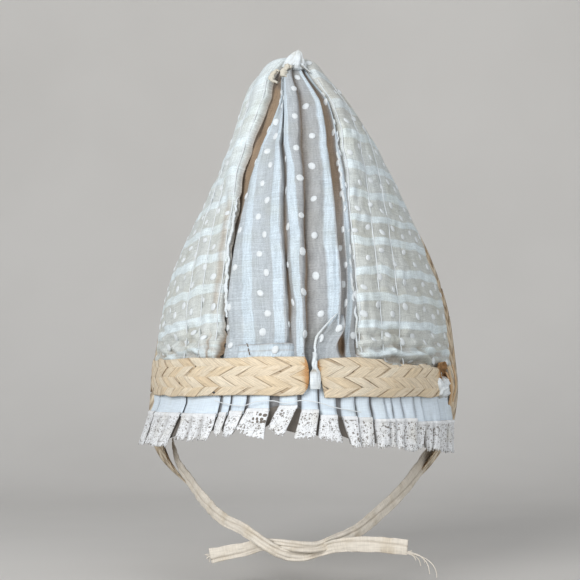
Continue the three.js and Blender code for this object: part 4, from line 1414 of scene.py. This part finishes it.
# %% Bands
BAND_RISE = 3.7
BAND_WIDTH = 13.3
BAND_ACROSS = (-0.5, -0.43, -0.16, 0.16, 0.43, 0.5)
BANDS = {
    "left": {"from": -0.80, "to": 0.112, "foot": 0.9, "seed": 91},
    "right": {"from": 0.139, "to": 0.675, "foot": 0.5, "seed": 92},
}
RIM_TURNS = np.linspace(-0.95, 0.95, 761)
rim_line = hood(RIM, RIM_TURNS)
rim_walk = lengths_along(rim_line)
rim_forwards = np.gradient(rim_line, axis=0)
rim_out = np.stack([rim_forwards[:, 1], -rim_forwards[:, 0], 0 * RIM_TURNS], axis=-1)
rim_out /= np.linalg.norm(rim_out, axis=1, keepdims=True)


def rim_at(turn):
    """The walk along the rim to a turn."""
    return float(np.interp(turn, RIM_TURNS, rim_walk))


def on_rim(walked, z, out):
    """Places round the rim: by the walk along it, a height and how far out."""
    walked, z, out = np.broadcast_arrays(walked, z, out)
    turn = np.interp(walked, rim_walk, RIM_TURNS)
    place = hood(station_at(np.clip(z, 0, 30)), turn)
    aside = np.stack([np.interp(walked, rim_walk, rim_out[:, k]) for k in range(3)], axis=-1)
    place = place + aside * out[..., None]
    place[..., 2] = z
    return place


def make_band(side):
    band = BANDS[side]
    start = rim_at(band["from"])
    length = rim_at(band["to"]) - start

    def lie(along, across, height):
        up = across / BAND_WIDTH
        sway = 0.5 * wrinkle(along / 7, np.round(up) * 5 + 2, band["seed"]) * np.abs(2 * up - 1)
        bowed = 0.4 * np.sin(up * math.pi) + 0.25 * wrinkle(along / 5, across / 5, band["seed"] + 20)
        settled = 1.1 * np.clip((rim_at(-0.56) - start - along) / 14, 0, 1)
        return on_rim(start + along, band["foot"] + across + sway, BAND_RISE - settled + height + bowed)

    def keep(along, across):
        if side == "left":
            return across > -1
        worn_top = np.clip((along - 22) / 9, 0, 1) + 0.3 * wrinkle(along / 2.3, 7, band["seed"])
        return across < BAND_WIDTH - 2.7 * worn_top

    def ends(across):
        up = across / BAND_WIDTH
        if side == "left":
            first = 0.8 + 0.8 * wrinkle(across / 2, 6, band["seed"])
            return first, length - 1.6 * (2 * np.abs(up - 0.55)) ** 3
        return 2.6 * (1 - up) ** 1.2, length - 1.9 - 1.4 * wrinkle(across / 2.2, 4, band["seed"])

    return plait(
        "plait_" + side, lie, length, BAND_WIDTH, lift=0.13, steps=26, beside=BAND_ACROSS, seed=band["seed"],
        keep=keep, ends=ends, wall=0.22, tips=1.25)


for side in BANDS:
    take_in(make_band(side), straw, ["band_" + side])

# %% [markdown]
# The right band's end is worn through. There is a brown hole above, a tuft of white cotton below it, and
# beyond them some loose strips of straw hang down. The hole and the tuft are crumpled sheets, one that
# sinks in and one that swells, and each strip is a bent grid like those of the plait.

# %% Worn end
TUFT_TURNS = (0.650, 0.744)
HOLE_TURNS = (0.680, 0.748)
# Each strip: its turn at the top, in the middle and at the foot, its top and foot, its width and its tone
LOOSE_STRIPS = (
    (0.738, 0.758, 0.762, 9.5, -2.5, 1.9, 0.04),
    (0.752, 0.772, 0.778, 11.5, -4.0, 2.3, 0.09),
    (0.782, 0.790, 0.786, 12.0, -3.4, 2.2, 0.5),
    (0.806, 0.812, 0.804, 12.4, -1.5, 2.2, 0.06),
)


def rim_patch(turns, top, foot, rest, out, crumple, seed, slant=0.0):
    """A small crumpled sheet on the rim between two turns, which swells or sinks from rest to out, with
    painted shade where it lies well below out.
    """
    walked = np.linspace(rim_at(turns[0]), rim_at(turns[1]), 31)[:, None]
    z = np.linspace(foot, top, 31)[None, :]
    round_edge = np.clip(1.6 * np.sin(np.linspace(0, math.pi, 31)), 0, 1)
    height = rest + (out - rest) * np.minimum(round_edge[:, None], round_edge[None, :]) ** 0.5
    height = height + crumple * wrinkle(walked / 1.3, z / 1.5, seed)
    height = height + 0.4 * crumple * wrinkle(walked, z * 2, seed)
    edge = 0.8 * wrinkle(z / 1.6, 3, seed) * np.linspace(-1, 1, 31)[:, None]
    edge = edge - slant * (z - foot) / (top - foot) * np.linspace(1, 0, 31)[:, None]
    points = on_rim(walked + edge, z + 0.9 * wrinkle(walked / 1.8, 5, seed), height)
    cloth = np.stack(np.broadcast_arrays(walked, z), axis=-1)
    return points, cloth, np.clip(-1.2 * (height - out + 0.5), 0, 0.6)


def hang_strips():
    bm = bmesh.new()
    down = np.linspace(0, 1, 13)[None, :]
    beside = np.array(BAND_ACROSS)[:, None]
    for top_turn, middle_turn, foot_turn, top, foot, width, tone in LOOSE_STRIPS:
        walked = through([rim_at(top_turn), rim_at(middle_turn), rim_at(foot_turn)], down * 2)
        z = top + (foot - top) * down + 0 * beside
        out = 3.2 + 0.9 * np.sin(down * 3.0 + 6 * tone) - 0.5 * np.abs(beside)
        points = on_rim(walked + beside * width, z, out)
        cloth = np.stack([z * 1.9 + 37 * tone, beside * 3.4 + 11 * tone + 0 * z], axis=-1)
        # Painted shade along the strips' edges.
        rim = 0.5 * (np.abs(beside) > 0.48) + 0 * z
        lay_grid(bm, points[:, ::-1], cloth[:, ::-1], {"shade": rim[:, ::-1], "strand": tone + 0 * z})
    bmesh.ops.recalc_face_normals(bm, faces=bm.faces)
    return thicken(as_object(bm, "loose_strips"), 0.25, 0.0)


hole_points, hole_cloth, _ = rim_patch(HOLE_TURNS, 12.6, 6.8, 3.7, 1.6, 0.8, 96)
# The hole is the straw's orange-brown under painted shade, darker in patches.
hole_shade = 0.62 + 0.4 * wrinkle(hole_cloth[..., 0] / 1.1, hole_cloth[..., 1] / 0.9, 98)
take_in(cloth_sheet("worn_hole", hole_points, hole_cloth, hole_shade, 0.3), straw)
tuft_points, tuft_cloth, tuft_shade = rim_patch(TUFT_TURNS, 8.6, 0.4, 1.0, 5.0, 0.9, 97, 3.0)
take_in(cloth_sheet("cotton_tuft", tuft_points, tuft_cloth, tuft_shade, 0.4), white_thread)
take_in(hang_strips(), straw)

# %% [markdown]
# ## Tab between the bands
# A twisted end of cotton comes down out of the crown, through the gap between the two bands, and ends in a
# flat white tab. It could be two pieces, but the twist runs into the tab, so it is one narrow sheet whose
# width and lift are a short table.

# %% Centre tab
TAB_MIDDLE = rim_at(0.132)
TAB_AT = (0, 0.3, 0.42, 0.58, 0.8, 1.0)
TAB_HALF = (0.4, 0.45, 0.6, 1.5, 1.55, 1.4)
TAB_OUT = (4.9, 4.8, 4.6, 4.6, 4.7, 4.2)
TAB_TOP, TAB_FOOT = 15.6, 3.2

tab_down = np.linspace(0, 1, 49)[None, :]
tab_share = np.linspace(-1, 1, 15)[:, None]
tab_half = between(TAB_AT, TAB_HALF, tab_down)
tab_sway = 0.5 * np.sin(tab_down * 11) * np.clip(1 - 2 * tab_down, 0, 1)
tab_out = between(TAB_AT, TAB_OUT, tab_down) + 0.4 * np.cos(tab_share * 4 + tab_down * 9) * (1 - tab_down)
tab_out = tab_out + 0.35 * (1 - tab_share ** 2) + 0.15 * wrinkle(tab_share * 3, tab_down * 12, 95)
tab_walk = TAB_MIDDLE + tab_sway + tab_share * tab_half
tab_points = on_rim(tab_walk, TAB_TOP + (TAB_FOOT - TAB_TOP) * tab_down, tab_out)
tab_cloth = np.stack(np.broadcast_arrays(tab_share * tab_half, tab_down * 13), axis=-1)
# Painted shade across most of the twist, where it flares into the tab.
tab_shade = 0.7 * np.exp(-((tab_down - 0.5) / 0.06) ** 2) * (tab_share < 0.4) + 0 * tab_half
tab = cloth_sheet("cotton_tab", tab_points, tab_cloth, tab_shade, 0.5)
take_in(tab, edge_cotton, ["centre_tab"])

# %% [markdown]
# ## Neck curtain and its lace
# Below the band hangs a strip of blue-white cotton in knife pleats, edged with lace. The pleats differ too
# much for a wave. Each is a row of the table: where its two edges lie along the rim at the lace's heading
# and at its foot, how low the heading and the foot are, how the foot tilts and how far the pleat stands out.
# The sheet goes across each pleat, then folds back under it.

# %% Pleat table
PLEAT_COLUMNS = ("left", "right", "foot_left", "foot_right", "head", "foot", "tilt", "rise")
PLEATS = np.array((
    (0.0, 24.0, 1.0, 21.0, -5.4, -17.8, 0.0, 0.9),
    (24.6, 50.2, 22.4, 46.2, -5.6, -17.2, 0.0, 1.2),
    (50.8, 68.6, 50.6, 66.8, -5.6, -15.0, -0.4, 1.4),
    (69.6, 73.1, 68.4, 71.5, -5.0, -13.0, 0.0, 1.8),
    (73.6, 79.2, 72.3, 76.2, -4.5, -13.5, 0.0, 2.2),
    (80.2, 87.1, 76.4, 86.6, -3.6, -12.9, 2.0, 2.7),
    (90.2, 95.6, 86.6, 91.3, -2.6, -12.0, 2.4, 3.0),
    (97.0, 102.0, 94.1, 100.6, -4.0, -13.7, 0.0, 2.6),
    (102.8, 108.0, 101.6, 108.8, -5.8, -14.5, 0.8, 2.4),
    (110.2, 114.8, 112.8, 115.3, -6.4, -17.0, 0.0, 2.2),
    (115.5, 120.4, 116.0, 120.2, -6.8, -17.3, 0.0, 2.3),
    (121.8, 126.8, 121.9, 126.2, -7.4, -17.6, 0.0, 2.3),
    (127.3, 130.0, 127.1, 129.3, -7.4, -17.6, 0.0, 2.0),
    (130.6, 134.7, 130.2, 132.9, -7.4, -17.9, 0.0, 2.0),
    (135.6, 141.2, 133.8, 139.0, -7.4, -18.6, 0.0, 2.3),
    (142.3, 146.2, 140.4, 143.2, -8.6, -18.2, 0.0, 2.0),
    (147.1, 158.0, 146.2, 154.4, -8.6, -19.1, 0.0, 2.2),
    (159.2, 171.4, 157.4, 170.0, -8.6, -20.2, 0.0, 1.6),
))
CURTAIN_START = rim_at(-0.86)
CURTAIN_TOP = 5.0
CURTAIN_OUT = 1.7
SLOPE_TURNS = (-0.86, -0.45, 0.1, 0.45, 0.78)
SLOPES = (0.3, 0.3, 0.22, 0.12, 0.04)
# The columns that lead into a pleat and fold back under it: each its share, its rise and its painted shade in
# the gap.
LEAD_IN = ((0.0, 0.06, 1.0),)
FOLD_BACK = ((0.995, 0.6, 0.9), (0.93, 0.3, 1.0), (0.88, 0.06, 1.0))
SOFT_FOLDS = {0: 3, 1: 3, 2: 3, 16: 2, 17: 2}


def pleat_columns(spacing):
    """For each column of the sheet: its pleat, its share across it, its rise, its painted shade where it is
    tucked into a gap, and its depth in a soft fold.
    """
    columns = []
    for index, row in enumerate(PLEATS):
        count = max(6, int((row[1] - row[0]) / spacing))
        soft = SOFT_FOLDS.get(index, 1)
        columns.extend((index, *spot, 0) for spot in LEAD_IN)
        for share in np.linspace(0, 1, count):
            in_between = 0.5 / soft < share < 1 - 0.5 / soft
            valley = abs(math.cos(share * math.pi * soft)) ** 8 if in_between else 0
            rise = 0.55 + 0.45 * math.sin(share * math.pi * 0.6)
            columns.append((index, share, rise, 0.3 * (share < 0.03), valley))
        columns.extend((index, *spot, 0) for spot in FOLD_BACK)
    return np.array(columns[len(LEAD_IN):-len(FOLD_BACK)])


def pleat_measure(columns, name):
    """One measure of the pleats at every column of the sheet."""
    return PLEATS[columns[:, 0].astype(int), PLEAT_COLUMNS.index(name)][:, None]


def skirt(columns, z, down, lift):
    """Places on the curtain. down is 0 at the lace's heading and above, and 1 at its foot."""
    pleat, share = columns[:, 0][:, None], columns[:, 1][:, None]
    measures = {name: pleat_measure(columns, name) for name in PLEAT_COLUMNS}
    head_at = measures["left"] * (1 - share) + measures["right"] * share
    foot_at = measures["foot_left"] * (1 - share) + measures["foot_right"] * share
    walked = CURTAIN_START + head_at + (foot_at - head_at) * down
    waver = 0.45 * wrinkle(-z / 4.5, 3.7 * pleat + 2.3 * share, 120)
    walked = walked + waver * np.clip(-z / 4, 0, 1)
    turn = np.interp(walked, rim_walk, RIM_TURNS)
    below = np.maximum(0, -z - 1.5)
    slope = np.interp(turn, SLOPE_TURNS, SLOPES)
    opened = 0.35 + 0.65 * np.clip((2 - z) / 9, 0, 1)
    rise = measures["rise"] * columns[:, 2][:, None] * opened
    valley = columns[:, 4][:, None] * np.clip((-4 - z) / 6, 0, 1)
    return on_rim(walked, z, CURTAIN_OUT + slope * below + rise - 1.2 * valley + lift)


print("pleats:", len(PLEATS))

# %% Curtain
CURTAIN_ROWS = 26
curtain_columns = pleat_columns(0.8)
curtain_down = np.linspace(0, 1, CURTAIN_ROWS)[None, :]
curtain_head = pleat_measure(curtain_columns, "head") - 0.6
curtain_z = CURTAIN_TOP + (curtain_head - CURTAIN_TOP) * curtain_down
column_number = np.arange(len(curtain_columns))[:, None]
curtain_lift = 0.16 * wrinkle(column_number / 9, curtain_z / 3, 101)
curtain_points = skirt(curtain_columns, curtain_z, 0 * curtain_z, curtain_lift)[:, ::-1]
curtain_across = lengths_along(curtain_points[:, 0])[:, None]
curtain_cloth = np.stack(np.broadcast_arrays(curtain_across, curtain_z[:, ::-1]), axis=-1)
# Painted shade where the cloth is tucked into the gaps between pleats, lighter on the first two.
flat_pleats = np.where(curtain_columns[:, 0] < 2, 0.3, 1.0)
curtain_shade = ((curtain_columns[:, 3] * flat_pleats)[:, None] + 0 * curtain_z)[:, ::-1]
curtain = cloth_sheet("curtain_cloth", curtain_points, curtain_cloth, curtain_shade * 0.8, 0.35)
take_in(curtain, curtain_cotton, ["neck_curtain"])

# %% [markdown]
# The lace is the same pleated sheet, carried on downwards on a finer mesh. The small teeth along its foot are
# faces taken out, because they make its outline. The net and the eyes under the heading are too fine for
# the mesh, so its material paints them dark, as painted shade, and the open attribute says where the eyes
# are.

# %% Lace
LACE_CELL = 0.24
LACE_ROWS = 46
TOOTH_STEP = 1.15
LARGE_EYED = 5

lace_columns = pleat_columns(LACE_CELL)
lace_down = np.linspace(-0.05, 1, LACE_ROWS)[None, :]
lace_head = pleat_measure(lace_columns, "head")
lace_foot = pleat_measure(lace_columns, "foot")
lace_foot = lace_foot + pleat_measure(lace_columns, "tilt") * (0.5 - lace_columns[:, 1][:, None])
lace_number = np.arange(len(lace_columns))[:, None]
lace_share = lace_columns[:, 1][:, None]
foot_wave = 0.35 * wrinkle(lace_number / 13, 0, 111) * np.clip(lace_down, 0, 1)
lace_z = lace_head + (lace_foot - lace_head) * lace_down + foot_wave
lace_drop = (lace_head - lace_foot) * lace_down
heading = np.exp(-((lace_drop - 0.2) / 0.5) ** 2)
ruffle = np.clip(lace_down, 0, 1) * (0.35 * wrinkle(lace_number / 11, lace_down * 2, 112)
                                     + 0.25 * wrinkle(lace_number / 4, lace_down * 3, 118))
lace_lift = 0.5 + heading * (0.35 + 0.2 * wrinkle(lace_number / 3, 2, 119)) + ruffle
lace_points = skirt(lace_columns, lace_z, np.clip(lace_down, 0, 1), lace_lift)
lace_across = lengths_along(lace_points[:, LACE_ROWS // 2])[:, None]
# Painted shade in the gaps between pleats and in the soft folds of the wide ones.
lace_shade = 0.95 * lace_columns[:, 3][:, None] * np.clip(lace_drop + 1.2, 0, 1)
lace_shade = lace_shade + 0.45 * lace_columns[:, 4][:, None] * np.clip(lace_drop / 2, 0, 1)
lace_pleat = lace_columns[:, 0][:, None]
large_eyes = (lace_pleat == LARGE_EYED) * np.clip((lace_share - 0.25) / 0.2, 0, 1)
large_eyes = large_eyes * np.clip(5.6 - lace_drop, 0, 1)
small_eyes = (lace_pleat > LARGE_EYED) * np.clip(3.4 - 8 * np.abs(lace_share - 0.5), 0, 1)
small_eyes = small_eyes * np.clip(3.8 - lace_drop, 0, 1)
lace_open = np.maximum(large_eyes, 0.75 * small_eyes)
left_over = (lace_head - lace_foot) - lace_drop
tooth_count = (lace_across + 0.4 * wrinkle(lace_across / 2.2, 3, 114)) / TOOTH_STEP
tooth = np.abs(tooth_count - np.round(tooth_count)) * 2
tooth_depth = 1.4 + 0.8 * wrinkle(lace_across / 1.9, 6, 115)
tucked_up = lace_columns[:, 3][:, None] * (1.4 + 1.2 * wrinkle(lace_across / 3, 8, 116))
cut_away = left_over < tooth_depth * tooth + tucked_up


def make_lace():
    bm = bmesh.new()
    cloth = np.stack(np.broadcast_arrays(lace_across, lace_drop), axis=-1)
    marks = {"shade": np.clip(lace_shade, 0, 1), "open": lace_open, "hole": cut_away.astype(float)}
    marks = {name: values[:, ::-1] for name, values in marks.items()}
    lay_grid(bm, lace_points[:, ::-1], cloth[:, ::-1], marks)
    take_out(bm, "hole", 1.5)
    return thicken(as_object(bm, "lace_edge"), 0.25)


lace = make_lace()
take_in(lace, lace_cotton, ["lace"])

# %% [markdown]
# A loose white thread, pulled out of the seam, lies across the pleats under the band. It is a line
# through a few places along the rim, lifted clear of the pleats.

# %% Loose thread
LOOSE_THREAD = (
    (67.7, -0.7, 4.0), (73.0, -1.8, 4.8), (79.0, -2.4, 5.2), (83.5, -1.0, 5.4), (88.5, -0.7, 5.0),
    (92.0, -1.5, 5.4), (96.5, -0.6, 5.6), (101.5, -1.2, 5.4), (106.5, -2.8, 5.2), (111.5, -3.8, 5.0),
    (116.0, -4.6, 5.2),
)
loose_spots = through_points(np.array(LOOSE_THREAD), np.linspace(0, len(LOOSE_THREAD) - 1, 90))
loose_path = on_rim(CURTAIN_START + loose_spots[:, 0], loose_spots[:, 1], loose_spots[:, 2])
take_in(threads("loose_thread", [loose_path], 0.17), white_thread)

# %% [markdown]
# ## Floor, backdrop and light
# The floor is plain and pale and runs up behind in one curve, so no line crosses the view. A large soft light
# stands up and to the left behind the camera, a weaker one to the right, and one above, so the pleats keep
# soft shadows.

# %% Stage and light
FLOOR_Z = -0.064
SWEEP = 0.35
SWEEP_START = 0.35


def make_stage():
    bm = bmesh.new()
    bmesh.ops.create_grid(bm, x_segments=2, y_segments=96, size=1.6)
    for vert in bm.verts:
        run = vert.co.y + 0.2
        bend = min(max((run - SWEEP_START) / SWEEP, 0), math.pi / 2)
        straight = max(run - SWEEP_START - SWEEP * math.pi / 2, 0)
        ahead = min(run, SWEEP_START) + SWEEP * math.sin(bend)
        vert.co = (vert.co.x * 1.4, ahead, FLOOR_Z + SWEEP * (1 - math.cos(bend)) + straight)
    stage = as_object(bm, "stage")
    stage.data.shade_smooth()
    return stage


def make_paper():
    material = bpy.data.materials.new("stage paper")
    material.use_nodes = True
    tree = material.node_tree
    shader = tree.nodes["Principled BSDF"]
    shader.inputs["Roughness"].default_value = 0.95
    place = put(tree, "ShaderNodeTexCoord").outputs["Object"]
    mottle = ramp(tree, cloud(tree, place, 6.0), 0.3, 0.7)
    paper = blend(tree, mottle, (0.60, 0.585, 0.56, 1), (0.63, 0.615, 0.59, 1))
    tree.links.new(paper, shader.inputs["Base Color"])
    return material


stage = make_stage()
bpy.context.collection.objects.link(stage)
stage.data.materials.append(make_paper())

LIGHTS = {
    "key": ((-0.50, -0.95, 0.42), 0.6, 9.8),
    "fill": ((0.70, -0.85, 0.15), 0.9, 5.6),
    "top": ((0.0, 0.05, 1.0), 0.8, 1.3),
}
for name, (place, size, power) in LIGHTS.items():
    lamp = bpy.data.lights.new(name, "AREA")
    lamp.size = size
    lamp.energy = power
    light = bpy.data.objects.new(name, lamp)
    light.location = place
    light.rotation_euler = (Vector(place) - VIEW_MIDDLE).to_track_quat("Z", "Y").to_euler()
    bpy.context.collection.objects.link(light)

world = bpy.data.worlds.new("room")
bpy.context.scene.world = world
world.use_nodes = True
world.node_tree.nodes["Background"].inputs["Color"].default_value = (0.92, 0.95, 1.0, 1)
world.node_tree.nodes["Background"].inputs["Strength"].default_value = 0.34
bpy.context.scene.view_settings.view_transform = "Standard"
print("lights:", ", ".join(LIGHTS))
